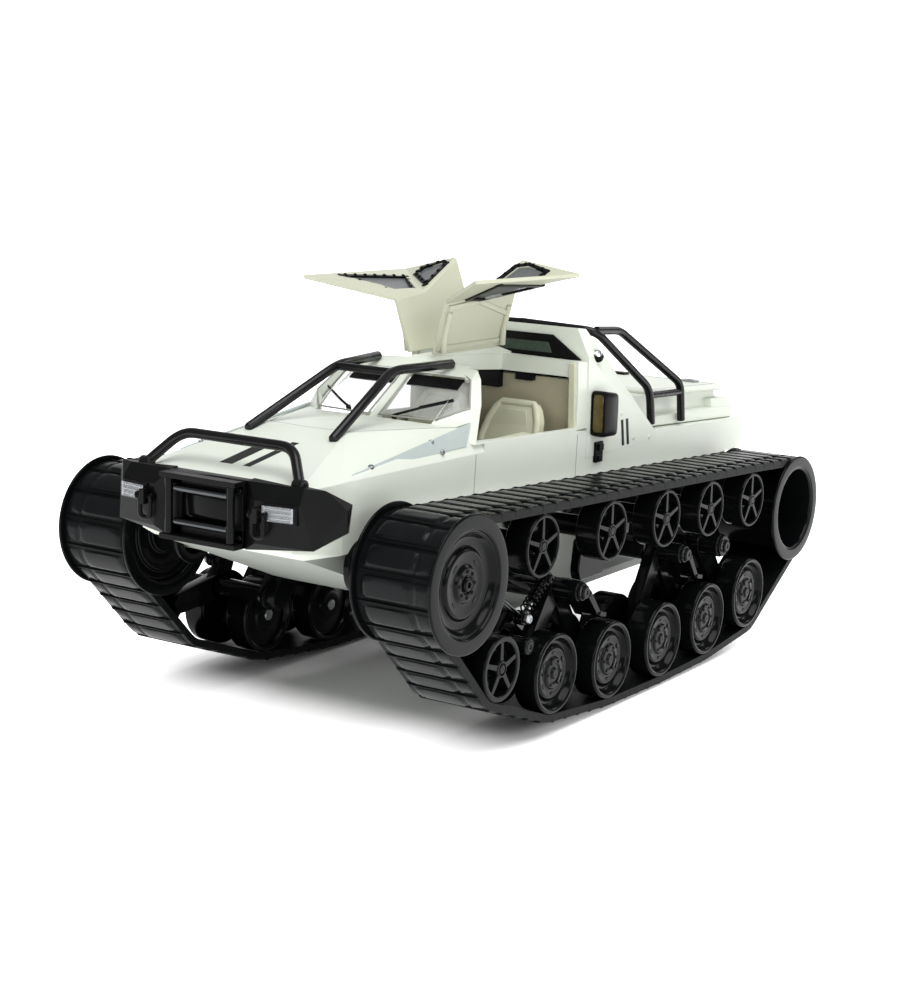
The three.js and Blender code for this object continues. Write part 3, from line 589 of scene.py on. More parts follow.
def build_spoked(side, label, node, lip, spoke, hub):
    """An open drum with a thin rim, five slim spokes and a capped hub at each end."""
    x, z, r, inside, outside = wheel_of(f"{node}_left")
    mould = Mould(side).use(BLACK)
    mould.lathe(x, z, [
        (r - lip, inside + 0.8), (r - lip + 0.4, inside), (r - 0.5, inside), (r, inside + 0.8),
        (r, outside - 0.8), (r - 0.5, outside), (r - lip + 0.4, outside), (r - lip, outside - 0.8),
    ], count=72, reach=0.35)
    mould.lathe(x, z, [(3.35, inside), (hub, inside), (hub, outside - 0.6), (hub - 0.6, outside),
                       (hub - 1.4, outside),
                       (hub - 1.6, outside - 0.8), (3.35, outside - 0.8)], count=32, reach=0.2)
    mould.lathe(x, z, [(0, outside - 3), (3.3, outside - 3), (3.3, outside - 0.9), (2.4, outside + 0.1),
                       (0, outside + 0.1)], count=24, reach=0.3)
    for y0, y1 in ((outside - 3.6, outside - 0.5), (inside + 0.5, inside + 3.0)):
        for k in range(5):
            a = math.pi / 2 + 2 * math.pi * k / 5
            c, s = math.cos(a), math.sin(a)
            edge = [(hub * 0.8, -spoke * 0.62), (r - lip + 0.3, -spoke * 0.5), (r - lip + 0.3, spoke * 0.5),
                    (hub * 0.8, spoke * 0.62)]
            mould.prism([(x + q * c - w * s, z + q * s + w * c) for q, w in edge], y0, y1, crown=0.4)
    middle = (inside + outside) / 2
    mould.lathe(x, z, [(hub - 0.3, middle - 0.8), (r - lip + 0.2, middle - 0.8),
                       (r - lip + 0.2, middle + 0.8), (hub - 0.3, middle + 0.8)], count=48, reach=0.2)
    mould.use(STEEL).lathe(x, z, [(0, inside + 1.0), (2.6, inside + 1.0), (2.6, inside - 0.1),
                                  (2.1, inside - 0.5), (0, inside - 0.5)], count=20, reach=0.2)
    mould.done(f"wheel_{node}_{label}", f"{node}_{label}", "gear_black", replaces=(f"{node}_{label}",))


def build_road_wheel(side, label, number):
    x, z, r, inside, outside = wheel_of(f"road_wheel_{number}_left")
    middle, gap = (inside + outside) / 2, 9.5
    mould = Mould(side).use(BLACK)
    face = outside
    mould.lathe(x, z, [
        (0, middle + 2), (3, middle + 2), (3, middle + gap), (r - 1.2, middle + gap), (r, middle + gap + 1),
        (r, face - 1.0), (r - 0.9, face), (22.2, face), (21.2, face - 0.9), (20.6, face - 3.0),
        (19.2, face - 5.0),
        (17.4, face - 5.2), (15.8, face - 3.2), (14.6, face - 2.7), (11.4, face - 3.3), (9.8, face - 3.2),
        (9.2, face - 2.0), (6.4, face - 1.7), (5.8, face - 2.6), (3.4, face - 2.4), (3.0, face - 1.2),
        (0, face - 1.2),
    ], count=84, reach=0.6)
    oval_pits(mould, x, z, 12.6, 6, face - 2.9, 2.0, 0.9, 1.0)
    ring_of_bolts(mould, x, z, 7.5, 6, face - 1.9, 0.95, 0.7)
    mould.lathe(x, z, [
        (0, middle - 2), (3, middle - 2), (3, middle - gap), (r - 1.2, middle - gap), (r, middle - gap - 1),
        (r, inside + 1.0), (r - 0.9, inside), (22.0, inside), (21.0, inside + 1.0), (20.2, inside + 3.4),
        (11.0, inside + 2.4), (10.0, inside + 1.0), (8.0, inside + 0.8), (0, inside + 0.8),
    ], count=72, reach=0.35)
    mould.lathe(x, z, [(0, middle - 2.2), (3, middle - 2.2), (3, middle + 2.2), (0, middle + 2.2)],
                count=24, reach=0)
    mould.use(STEEL).lathe(x, z, [(0, inside + 1.2), (3.6, inside + 1.2), (3.6, inside - 0.1),
                                  (3.1, inside - 0.5), (0, inside - 0.5)], count=24, reach=0.2)
    mould.done(f"road_{number}_{label}", f"road_wheel_{number}_{label}", "gear_black",
               replaces=(f"road_wheel_{number}_{label}",))


# ---- running gear: suspension ----
ARM_IN, ARM_OUT = 104.0, 112.0
PIVOTS = {"bogie_rocker_1": (102.5, 78.0), "bogie_rocker_2": (-32.0, 78.5), "rear_arm": (-96.0, 73.0)}
SWING, SHOCK_LOW, SHOCK_TOP = (162.0, 56.0), (152.0, 69.5), (126.0, 88.7)


def link(mould, a, b, ra, rb, y0, y1, crown=0.5):
    """A straight arm with round ends."""
    turn = math.atan2(b[1] - a[1], b[0] - a[0])
    outline = []
    for (x, z), r, start in ((a, ra, turn + math.pi / 2), (b, rb, turn - math.pi / 2)):
        for k in range(11):
            t = start + math.pi * k / 10
            outline.append((x + r * math.cos(t), z + r * math.sin(t)))
    return mould.prism(outline, y0, y1, crown=crown)


def pivot_head(mould, x, z, y0, y1, r=7.5):
    """The tube over a pivot, with a ringed cap on its outer end."""
    mould.lathe(x, z, [(3.35, y0), (r, y0), (r, y1 - 2.4), (r - 0.8, y1 - 1.8), (r - 0.8, y1 - 0.4),
                       (r - 1.2, y1), (4.6, y1), (4.2, y1 - 0.9), (3.35, y1 - 0.9)], count=40, reach=0.3)


def band(path, widths):
    """The outline of a flat strip that follows path in the x-z plane."""
    left, right = [], []
    for k, wide in enumerate(widths):
        ahead = Vector(path[min(k + 1, len(path) - 1)]) - Vector(path[max(k - 1, 0)])
        across = Vector((-ahead.y, ahead.x)).normalized() * (wide / 2)
        spot = Vector(path[k])
        left.append(tuple(spot + across))
        right.append(tuple(spot - across))
    return left + right[::-1]


def build_bogie(side, label, node, wheels):
    """A rocking saddle: arms down to both axles, and a ribbed bow that curves over the wheels."""
    x, z = PIVOTS[node]
    spots = [wheel_of(f"road_wheel_{n}_left")[:2] for n in wheels]
    mould = Mould(side).use(BLACK)
    for spot in spots:
        link(mould, (x, z), spot, 6.4, 5.2, ARM_IN, ARM_OUT)
        if spot[0] > x:
            continue
        lean = -1
        bow = [(x - 4 * lean, z + 1), (x + 6 * lean, z + 0.5), (x + 14 * lean, z - 4.5),
               (spot[0] - 7 * lean, spot[1] + 29.6), (spot[0] + 2 * lean, spot[1] + 27.4)]
        mould.prism(band(bow, (10, 9.5, 7, 5.4, 4.2)), ARM_OUT - 1, 116.8, crown=0.6)
        mould.prism(band(bow, (7, 6.5, 4.6, 3.6, 2.8)), 124.6, 127.6, crown=0.6)
        mould.prism(band(bow[1:], (2.0, 2.0, 2.0, 2.0)), 116.2, 125.2, crown=0.4)
        for point in bow[2:4]:
            mould.lathe(*point, [(0, 127), (1.5, 127), (1.5, 128.2), (1.0, 128.6), (0, 128.6)], count=20,
                        reach=0.2)
    pivot_head(mould, x, z, ARM_OUT - 1, 131, 6.4)
    mould.done(f"{node}_{label}_made", f"{node}_{label}", "gear_black", replaces=(f"{node}_{label}",))


def build_rear_arm(side, label):
    x, z = PIVOTS["rear_arm"]
    mould = Mould(side).use(BLACK)
    link(mould, (x, z), wheel_of("road_wheel_5_left")[:2], 9, 7.5, ARM_IN, ARM_OUT)
    pivot_head(mould, x, z, ARM_OUT - 1, 128, 8)
    mould.done(f"rear_arm_{label}_made", f"rear_arm_{label}", "gear_black", replaces=(f"rear_arm_{label}",))


def build_swing_arm(side, label):
    tx, tz = wheel_of("tension_wheel_left")[:2]
    mould = Mould(side).use(BLACK)
    link(mould, SWING, (tx, tz), 8, 6.5, ARM_IN, ARM_OUT)
    link(mould, SWING, SHOCK_LOW, 8, 4.5, ARM_IN, ARM_OUT)
    mould.lathe(*SWING, [(3.35, ARM_OUT - 1), (5.2, ARM_OUT - 1), (5.2, 129.4), (4.6, 130.2), (3.35, 130.2)],
                count=40, reach=0.3)
    mould.lathe(tx, tz, [(0, ARM_OUT - 1), (3, ARM_OUT - 1), (3, 133.4), (0, 133.4)], count=24, reach=0.2)
    mould.use(STEEL)
    x, z = SHOCK_LOW
    mould.lathe(x, z, [(0, ARM_OUT - 1), (2, ARM_OUT - 1), (2, 121.2), (3.0, 121.2), (3.0, 122.8),
                       (1.6, 123.4), (0, 123.4)], count=24, reach=0.2)
    mould.screw((x, 122.2, z), (0, 1, 0), 3.0, 1.6)
    mould.use(DARK_STEEL)
    for y in (115.6, 119.6):
        mould.tube([(x + 1, y, z + 0.6), (x + 25, y, z + 16.6)], 0.75, 10)
    mould.done(f"swing_arm_{label}_made", f"front_swing_arm_{label}", "gear_black",
               replaces=(f"front_swing_arm_{label}",))


def build_shock(side, label):
    """Coil-over shock: body, bright rod, spring seats and an open coil, held at the hull's end."""
    low, top = Vector((SHOCK_LOW[0], 117.2, SHOCK_LOW[1])), Vector((SHOCK_TOP[0], 117.2, SHOCK_TOP[1]))
    way = (low - top).normalized()
    length = (low - top).length
    mould = Mould(side).use(BLACK)
    mould.tube([top + way * 3.5, top + way * (length * 0.55)], 2.7, 20)
    mould.use(DARK_STEEL).tube([top + way * (length * 0.5), low - way * 3.0], 1.2, 14)
    mould.use(BLACK)
    turns, steps, radius = 7, 110, 3.5
    (_, u, v), *_ = frame_along([top, low])
    coil = []
    for k in range(steps + 1):
        t = k / steps
        a = 2 * math.pi * turns * t
        coil.append(top + way * (4.4 + (length - 9.0) * t) + (u * math.cos(a) + v * math.sin(a)) * radius)
    mould.tube(coil, 0.55, 8)
    mould.lathe(top.x, top.z, [(2.35, 114), (4, 114), (4, 120.4), (2.35, 120.4)], count=28, reach=0.3)
    for y in (114.0, 116.4, 118.8):
        mould.lathe(low.x, low.z, [(2.35, y), (4.4, y), (4.4, y + 1.4), (2.35, y + 1.4)], count=32,
                    reach=0.25)
    ends = [tuple(at(p.x, side * p.y, p.z)) for p in (top, low)]
    mould.done(f"shock_{label}_made", "chassis", "bright_steel", replaces=(f"front_shock_{label}",),
               bend=("chassis", f"front_swing_arm_{label}", *ends))


def build_stub_sleeves(side, label):
    """Black sleeves and brackets over the hull's axle stubs."""
    mould = Mould(side).use(BLACK)
    bogies = list(PIVOTS.values())[:2]
    for n in range(1, 6):
        x, z, _, inner, _ = wheel_of(f"return_roller_{n}_left")
        mould.lathe(x, z, [(5.6, 61), (9.5, 61), (9.5, 64), (6.6, 66.5), (6.6, inner - 3), (7.4, inner - 2.6),
                           (7.4, inner - 0.8), (5.6, inner - 0.8)], count=36, reach=0.4)
    mould.lathe(*SWING, [(4.9, 61), (9, 61), (9, 64), (5.9, 67), (5.9, ARM_IN - 0.8), (4.9, ARM_IN - 0.8)],
                count=36, reach=0.4)
    for x, z in PIVOTS.values():
        mould.lathe(x, z, [(6.6, 61), (12, 61), (12, 64), (8.2, 67), (8.2, ARM_IN - 3), (9.2, ARM_IN - 2.6),
                           (9.2, ARM_IN - 0.8), (6.6, ARM_IN - 0.8)], count=36, reach=0.4)
    for x, z in bogies:
        mould.prism([(x - 9, z + 9), (x + 9, z + 9), (x + 7, z + 27), (x - 7, z + 27)], 92, 101, crown=0.6)
    for node in ("drive_drum", "idler_drum"):
        x, z, _, inner, _ = wheel_of(f"{node}_left")
        mould.lathe(x, z, [(11.2, 61), (17, 61), (17, 65), (12.6, 68), (12.6, inner - 0.6), (7, inner - 0.6),
                           (7, inner - 1.6), (11.2, inner - 1.6)], count=40, reach=0.3)
    for (x, z), end in zip([*bogies, PIVOTS["rear_arm"], SWING], (132.4, 132.4, 129.6, 129.6)):
        mould.lathe(x, z, [(0, end - 1), (4.3, end - 1), (4.3, end + 0.2), (3.4, end + 0.9),
                           (1.4, end + 0.9), (1.0, end + 0.4), (0, end + 0.4)], count=28, reach=0.2)
    mould.prism([(50, 78), (79, 78), (81, 84), (78, 104), (52, 104), (48, 92)], 108, 114.5, reach=2.5,
                crown=0.8)
    link(mould, SWING, (138, 84), 7.8, 8.8, 53.4, 66.6)
    link(mould, PIVOTS["bogie_rocker_1"], SHOCK_TOP, 7.2, 4.8, 91.4, 103.85)
    mould.lathe(*SHOCK_TOP, [(0, 102), (4.6, 102), (4.6, 113.8), (0, 113.8)], count=28, reach=0.3)
    mould.lathe(*SHOCK_TOP, [(0, 113), (2.25, 113), (2.25, 121.2), (0, 121.2)], count=24, reach=0.2)
    mould.screw((SHOCK_TOP[0], 121, SHOCK_TOP[1]), (0, 1, 0), 2.8, 1.5, head=BLACK)
    mould.done(f"stub_sleeves_{label}", "chassis", "gear_black")


def build_running_gear(side, label):
    build_belt(side, label)
    build_drive_drum(side, label)
    build_idler_drum(side, label)
    for n in range(1, 6):
        build_spoked(side, label, f"return_roller_{n}", 2.3, 2.3, 4.6)
        build_road_wheel(side, label, n)
    build_spoked(side, label, "tension_wheel", 3.6, 2.8, 5.2)
    build_bogie(side, label, "bogie_rocker_1", (1, 2))
    build_bogie(side, label, "bogie_rocker_2", (3, 4))
    build_rear_arm(side, label)
    build_swing_arm(side, label)
    build_shock(side, label)
    build_stub_sleeves(side, label)


# ---- body fittings ----
def skin_of(node):
    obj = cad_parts[node]
    return BVHTree.FromPolygons([v.co for v in obj.data.vertices],
                                [list(p.vertices) for p in obj.data.polygons])


BODY_SKIN = skin_of("upper_body")


def on_body(x, y, z, way=(0, -1, 0), reach=30.0):
    """The point of the body's skin met from outside along way, and the skin's outward normal there."""
    way = Vector(way).normalized()
    start = at(x, y, z) - way * reach * MM
    hit, normal, _, _ = BODY_SKIN.ray_cast(start, way, 2 * reach * MM)
    if hit is None:
        return Vector((x, y, z)), -way
    return (hit - DATUM) / MM, normal if normal.dot(way) < 0 else -normal


def decal(mould, corners, thick, way=(0, -1, 0), sink=0.3):
    """A thin plate that lies on the body's skin between corners."""
    spots = [on_body(*c, way=way) for c in corners]
    normal = sum((n for _, n in spots), Vector()).normalized()
    mould.loft([[p - normal * sink for p, _ in spots], [p + normal * thick for p, _ in spots]])


def seam(mould, stops, width=0.7, way=(0, -1, 0)):
    """A fine panel line that follows the skin through stops."""
    path = []
    for a, b in zip(stops, stops[1:]):
        for k in range(9):
            path.append(on_body(*(Vector(a).lerp(Vector(b), k / 8)), way=way))
    for (p, n), (q, _) in zip(path, path[1:]):
        ahead = q - p
        if ahead.length < 0.1:
            continue
        across = ahead.normalized().cross(n).normalized() * (width / 2)
        low = [p - across, p + across, q + across, q - across]
        mould.loft([[c - n * 0.3 for c in low], [c + n * 0.06 for c in low]])


def build_side_trim(side, label):
    mould = Mould(side).use(PLATE)
    decal(mould, [(248.2, 62.3, 160.8), (125.8, 60.8, 175.9), (135.6, 64.3, 163.0)], 0.9)
    for x, y, z in ((230, 62.3, 162.6), (168.4, 61.1, 169.1), (161.4, 64.1, 162.9), (133.2, 60.8, 171.8)):
        spot, normal = on_body(x, y, z)
        mould.screw(spot + normal * 0.8, normal, 1.7, 0.9, head=STEEL)
    for x, y, z in ((-56, 66, 162), (-74.8, 66, 143.3), (-98, 66, 141)):
        spot, normal = on_body(x, y, z)
        mould.screw(spot, normal, 1.5, 0.7, head=WHITE)
    mould.done(f"side_trim_{label}", "chassis", "body_white", bevel=0.15)
    lines = Mould(side).use(GROOVE)
    seam(lines, [(127, 70, 157.5), (127, 70, 118)])
    seam(lines, [(4, 70, 155), (4, 70, 118)])
    lines.done(f"side_seams_{label}", "chassis", "body_white")
    latch = Mould(side).use(SATIN)
    latch.block(-28.6, -18.6, 64.5, 67.4, 133.4, 147.2)
    latch.block(-26.6, -20.6, 66.9, 69.2, 141.5, 146)
    latch.block(-26.0, -21.2, 66.9, 68.4, 134.6, 138)
    latch.done(f"latch_{label}", "chassis", "gear_black", bevel=0.5)
    cap = Mould(side)
    facing = Vector((0.4, 0.5, 0.75)).normalized()
    spot = Vector((-22.7, 63, 204.3)) + facing * 0.8
    cap.screw(spot - facing * 1.6, facing, 4.6, 3.0, head=SATIN)
    cap.screw(spot + facing * 1.1, facing, 3.0, 1.3, head=CHROME)
    cap.done(f"pillar_cap_{label}", "chassis", "gear_black")


def build_intake(side, label):
    """The black side scoop: a rounded box whose glossy amber face looks forward."""
    mould = Mould(side).use(SATIN)
    rings = []
    for x, low, high, out in ((-35, 153, 177, 72.0), (-32.5, 151.4, 179.4, 75.4), (-30, 151.2, 180, 76.2),
                              (-14, 152.0, 182.6, 77.2), (-12.4, 152.8, 182.0, 76.6)):
        mid, tall, depth = (low + high) / 2, (high - low) / 2, out - 65.6
        outline = []
        for k in range(28):
            a = 2 * math.pi * k / 28
            c, s = math.cos(a), math.sin(a)
            outline.append((x, 65.6 + depth / 2 + depth / 2 * math.copysign(abs(c) ** 0.3, c),
                            mid + tall * math.copysign(abs(s) ** 0.3, s)))
        rings.append(outline)
    lip = [(-12.2, 71.1 + (p[1] - 71.1) * 0.80, 167.4 + (p[2] - 167.4) * 0.90) for p in rings[-1]]
    floor = [(-14.5, p[1], p[2]) for p in lip]
    mould.loft(rings + [lip, floor])
    mould.use(AMBER).loft([[(x, 71.1 + (p[1] - 71.1) * q, 167.4 + (p[2] - 167.4) * q) for p in lip]
                           for x, q in ((-15.0, 0.98), (-13.4, 0.97), (-12.7, 0.80))])
    mould.done(f"intake_{label}_made", "chassis", "gear_black", replaces=(f"side_intake_{label}",))


def build_hood():
    for side, label in SIDES:
        lines = Mould(side).use(GROOVE)
        seam(lines, [(208, 0, 178), (205, 30, 177), (126, 60.5, 175.5)], way=(0, 0, -1))
        seam(lines, [(142.4, 4, 176), (142.4, 43.3, 175.8)], way=(0, 0, -1))
        lines.done(f"hood_seams_{label}", "chassis", "body_white")
    stripes = Mould().use(SATIN)
    for k, wide in enumerate((9.0, 5.0)):
        y = -16 + 17 * k
        decal(stripes, [(268, y, 163), (268, y + wide, 163), (232, y + wide + 7, 172), (232, y + 7, 172)],
              0.12, way=(0, 0, -1))
    stripes.done("hood_stripes", "chassis", "gear_black")
    for side, label in SIDES:
        mark = Mould(side).use(SATIN)
        for k in range(2):
            x = -58 - 7 * k
            decal(mark, [(x, 70, 140), (x - 3.4, 70, 140), (x - 0.4, 70, 158), (x + 3, 70, 158)], 0.12)
        mark.done(f"side_stripes_{label}", "chassis", "gear_black")


def build_wipers():
    mould = Mould().use(BAR)
    routes = (
        [(138.5, 13.7, 175.8), (130.3, 27.6, 180.7), (121.4, 46, 186.1)],
        [(133.9, -24, 177.0), (130, -31.7, 179.0), (120.5, -49.4, 185.0)],
    )
    for route in routes:
        lifted = [Vector(p) + Vector((1.2, 0, 1.6)) for p in route]
        mould.tube(lifted, 0.8, 10)
        mould.tube([lifted[1] + Vector((0.6, 0, 0.8)), lifted[2] + Vector((0.6, 0, 0.8))], 0.55, 8)
        mould.tube([Vector(route[0]) - Vector((0, 0, 1)), lifted[0]], 1.6, 12)
    mould.done("wipers", "chassis", "bar_black")


def build_screen_trim():
    """A thin gasket round each half of the screen, and the dark visor behind its top."""
    for side, label in SIDES:
        gasket = Mould(side).use(GROOVE)
        loop = [(141.6, 4, 177.0), (140.8, 42.5, 177.6), (122.4, 57.8, 184.2), (108.4, 48.7, 199.2),
                (103.6, 42, 200.4), (104.4, 4, 200.8), (141.6, 4, 177.0)]
        for a, b in zip(loop, loop[1:]):
            gasket.tube([a, b], 0.6, 10)
        visor = [(103, 198.2), (111, 193.2), (111, 192.0), (103, 197.0)]
        gasket.use(SATIN).hull([(x, y, z) for x, z in visor for y in (3, 41)])
        gasket.done(f"screen_gasket_{label}", "chassis", "gear_black")


def build_bulkhead():
    """The dark light strip across the front of the rear bulkhead, with its green lens."""
    mould = Mould().use(SATIN)
    outline = [(-60, 202.4), (-30, 201), (30, 201), (60, 202.4), (37.7, 217.3), (-37.7, 217.3)]
    mould.loft([[(x, y, z) for y, z in outline] for x in (-8.6, -6.4)])
    mould.use(GREEN)
    mould.loft([[(x, y * q, z) for y, z in ((-38, 205.4), (38, 205.4), (35, 212.2), (-35, 212.2))]
                for x, q in ((-6.8, 1.0), (-5.9, 1.0), (-5.6, 0.98))])
    mould.done("bulkhead_strip", "chassis", "gear_black", bevel=0.3)


# ---- bars ----
BULL_R, HOOD_R, CAGE_R, TIE_R = 3.0, 2.9, 2.9, 2.4


def build_bars():
    bull = Mould().use(BAR)
    feet = ((285.5, 55, 159.2), (285.5, -55, 159.2))
    bull.tube(bent([feet[0], (272, 40, 176.8), (272, -40, 176.8), feet[1]], 9), BULL_R, 20)
    for x, y, z in feet:
        bull.lathe(x, z, [(0.4, y - 3.6), (3.6, y - 3.6), (3.6, y + 3.6), (0.4, y + 3.6)], count=24,
                   reach=0.6)
    bull.done("bull_bar_made", "chassis", "bar_black", replaces=("bull_bar",))

    hood = Mould().use(BAR)
    for sign in (1, -1):
        foot = (224, sign * 31.0, 174.6)
        hood.tube(bent([foot, (151.7, sign * 20.2, 206.4), (98.6, sign * 28.1, 206.5)], 9), HOOD_R, 20,
                  dome=1.2)
    hood.tube([(153, -20, 205.6), (153, 20, 205.6)], 2.5, 18)
    hood.done("hood_bars_made", "chassis", "bar_black", replaces=("hood_bars",))

    cage = Mould().use(BAR)
    for sign in (1, -1):
        front = [(-30, 0, 220.9), (-36, sign * 54, 218.7), (-102.5, sign * 61.4, 174),
                 (-106, sign * 61.8, 149.4)]
        rear = [(-40, sign * 52, 218.7), (-74, sign * 51, 216.2), (-149, sign * 61.4, 173.4),
                (-152, sign * 61.8, 146.6)]
        cage.tube(bent(front, 9), CAGE_R, 20)
        cage.tube(bent(rear, 7), CAGE_R, 20)
        cage.tube([(-103, sign * 61.2, 169.5), (-149.2, sign * 61.4, 167.5)], TIE_R, 18)
    cage.done("rear_cage_made", "chassis", "bar_black", replaces=("rear_cage",))


# ---- bumper, lamps and recovery gear ----
def build_lamp(side, label):
    mould = Mould(side).use(SATIN)
    face = [(299.9, 42.6), (296.9, 61.4)]

    def patch(y0, y1, z0, z1, out):
        spots = []
        for y in (y0, y1):
            t = (y - face[0][1]) / (face[1][1] - face[0][1])
            spots.append((face[0][0] + (face[1][0] - face[0][0]) * t + out, y))
        return [(x, y, z) for (x, y), z in ((spots[0], z0), (spots[1], z0), (spots[1], z1), (spots[0], z1))]

    mould.loft([patch(41.4, 62.4, 139.8, 150.4, d) for d in (-2.0, 1.0)])
    mould.use(DARK_STEEL)
    mould.loft([patch(42.8, 61.2, 141.2, 149.2, d) for d in (0.6, 1.5)])
    mould.use(STEEL)
    for z in (142.6, 145.2, 147.8):
        mould.loft([patch(44, 60, z - 0.32, z + 0.32, d) for d in (1.3, 2.3)])
    for y in (43.4, 60.6):
        mould.loft([patch(y - 0.6, y + 0.6, 141.2, 149.2, d) for d in (1.3, 2.6)])
    mould.done(f"lamp_{label}", "chassis", "gear_black", bevel=0.15)
    lens = Mould(side).use(LENS)
    lens.loft([patch(42.6, 61.4, 141.0, 149.4, d) for d in (2.7, 3.3)])
    lens.done(f"lamp_lens_{label}", "chassis", "clear_screen", bevel=0.2)


def build_recovery():
    mould = Mould().use(SATIN)
    for z0, z1 in ((122.4, 125.2), (157.2, 160)):
        mould.block(296.4, 307, -27, 27, z0, z1)
    for sign in (1, -1):
        mould.block(296.4, 299.6, sign * 17, sign * 27, 122.4, 160)
        for z in (128, 154.5):
            mould.screw((299.4, sign * 24.4, z), (1, 0, 0), 1.6, 0.9, head=SATIN)
    mould.block(296.4, 299.6, -27, 27, 122.4, 132.2)
    mould.block(296.4, 299.6, -27, 27, 153, 160)
    mould.done("fairlead_frame_made", "chassis", "gear_black", bevel=0.5, replaces=("fairlead_frame",))
    winch = Mould().use(BLACK)
    winch.prism([(286, 132.4), (298.6, 132.4), (298.6, 151.4), (286, 151.4)], -16.4, 16.4, reach=4, crown=0.8)
    winch.done("winch_drum", "chassis", "gear_black")
    for side, label in SIDES:
        roller = Mould(side).use(BLACK)
        rings = []
        for z, r in ((125.2, 2.0), (125.6, 2.5), (141.2, 2.2), (156.8, 2.5), (157.2, 2.0)):
            rings.append([(304 + r * math.cos(a), 22.2 + r * math.sin(a), z)
                          for a in (2 * math.pi * k / 24 for k in range(24))])
        roller.loft(rings)
        roller.done(f"roller_upright_{label}", f"fairlead_roller_{label}", "gear_black",
                    replaces=(f"fairlead_roller_{label}",))
    for name, z in (("top", 151.4), ("bottom", 132.4)):
        rod = Mould().use(DARK_STEEL)
        rod.lathe(302.6, z, [(0, -19.2), (1.6, -19.2), (2.1, -18.6), (2.1, 18.6), (1.6, 19.2), (0, 19.2)],
                  count=28, reach=0.2)
        rod.done(f"roller_level_{name}", f"fairlead_bar_{name}", "bright_steel",
                 replaces=(f"fairlead_bar_{name}",))
    for side, label in SIDES:
        ring = Mould(side).use(SATIN)
        ring.tube(bent([(303.4, 36.6, 144.4), (303.4, 36.6, 131.5), (303.4, 44.2, 131.5),
                        (303.4, 44.2, 144.4)], 3.7), 1.4, 16)
        ring.lathe(303.4, 143.8, [(0, 34.4), (2.3, 34.4), (2.3, 35.6), (1.5, 35.8), (1.5, 45.2),
                                  (2.3, 45.4), (2.3, 46.4), (0, 46.4)], count=24, reach=0.2)
        ring.done(f"shackle_{label}_made", f"shackle_{label}", "bright_steel", replaces=(f"shackle_{label}",))


# ---- doors ----
HINGE_Y, HINGE_Z = 9.5, 209.0
DOOR_OPEN = {1: 80.5, -1: 74.5}
DOOR_T = 2.2
BEND_FRONT, BEND_MID, BEND_REAR = (91.2, 43.9, 205.9), (57.5, 46.8, 205.6), (11.5, 66.2, 203.9)
SILL_FRONT, SILL_REAR = (126.5, 68.2, 165.6), (9.5, 67.2, 161.6)
OUT = Vector((0, DOOR_T, 0.9))


def door_place(side):
    """Turns a shape modelled on a shut door up to where the door stands."""
    to = Matrix.Translation((0, HINGE_Y, HINGE_Z))
    return to @ Matrix.Rotation(math.radians(DOOR_OPEN[side]), 4, "X") @ to.inverted()


def flattened(points, a, b, c, way):
    """Points moved along way onto the plane through a, b and c, with that plane's outward normal."""
    a, b, c, way = (Vector(v) for v in (a, b, c, way))
    normal = (b - a).cross(c - a).normalized()
    if normal.y < 0:
        normal = -normal
    return [Vector(p) + way * ((a - Vector(p)).dot(normal) / way.dot(normal)) for p in points], normal


def strip(mould, a, b, across, normal, wide, low, high):
    """A flat bar from a to b whose outer edge lies 0.9 outside the line, standing from low to high."""
    ahead = (b - a).normalized()
    a1, b1 = a - ahead * 1.2, b + ahead * 1.2
    ring = [a1 - across * 0.9, b1 - across * 0.9, b1 + across * (wide - 0.9), a1 + across * (wide - 0.9)]
    mould.loft([[p + normal * low for p in ring], [p + normal * high for p in ring]])


def build_pane(mould, corners, normal, pane):
    """A window: its pane let into the panel, a studded frame outside, and a plain frame inside."""
    middle = sum(corners, Vector()) / len(corners)
    mould.use(pane)
    mould.loft([[p + (middle - p).normalized() * -1.0 + normal * d for p in corners] for d in (-1.4, -0.5)])
    mould.use(SATIN)
    wide, tall = 3.0, 0.9
    for a, b in zip(corners, corners[1:] + corners[:1]):
        across = normal.cross((b - a).normalized()).normalized()
        if across.dot(middle - a) < 0:
            across = -across
        strip(mould, a, b, across, normal, wide, -0.8, tall)
        strip(mould, a, b, across, normal, wide, -3.4, -1.8)
        count = max(2, round((b - a).length / 9))
        for k in range(count):
            spot = a.lerp(b, (k + 0.5) / count) + across * (wide / 2 - 0.9) + normal * tall
            mould.screw(spot, normal, 1.25, 0.9)


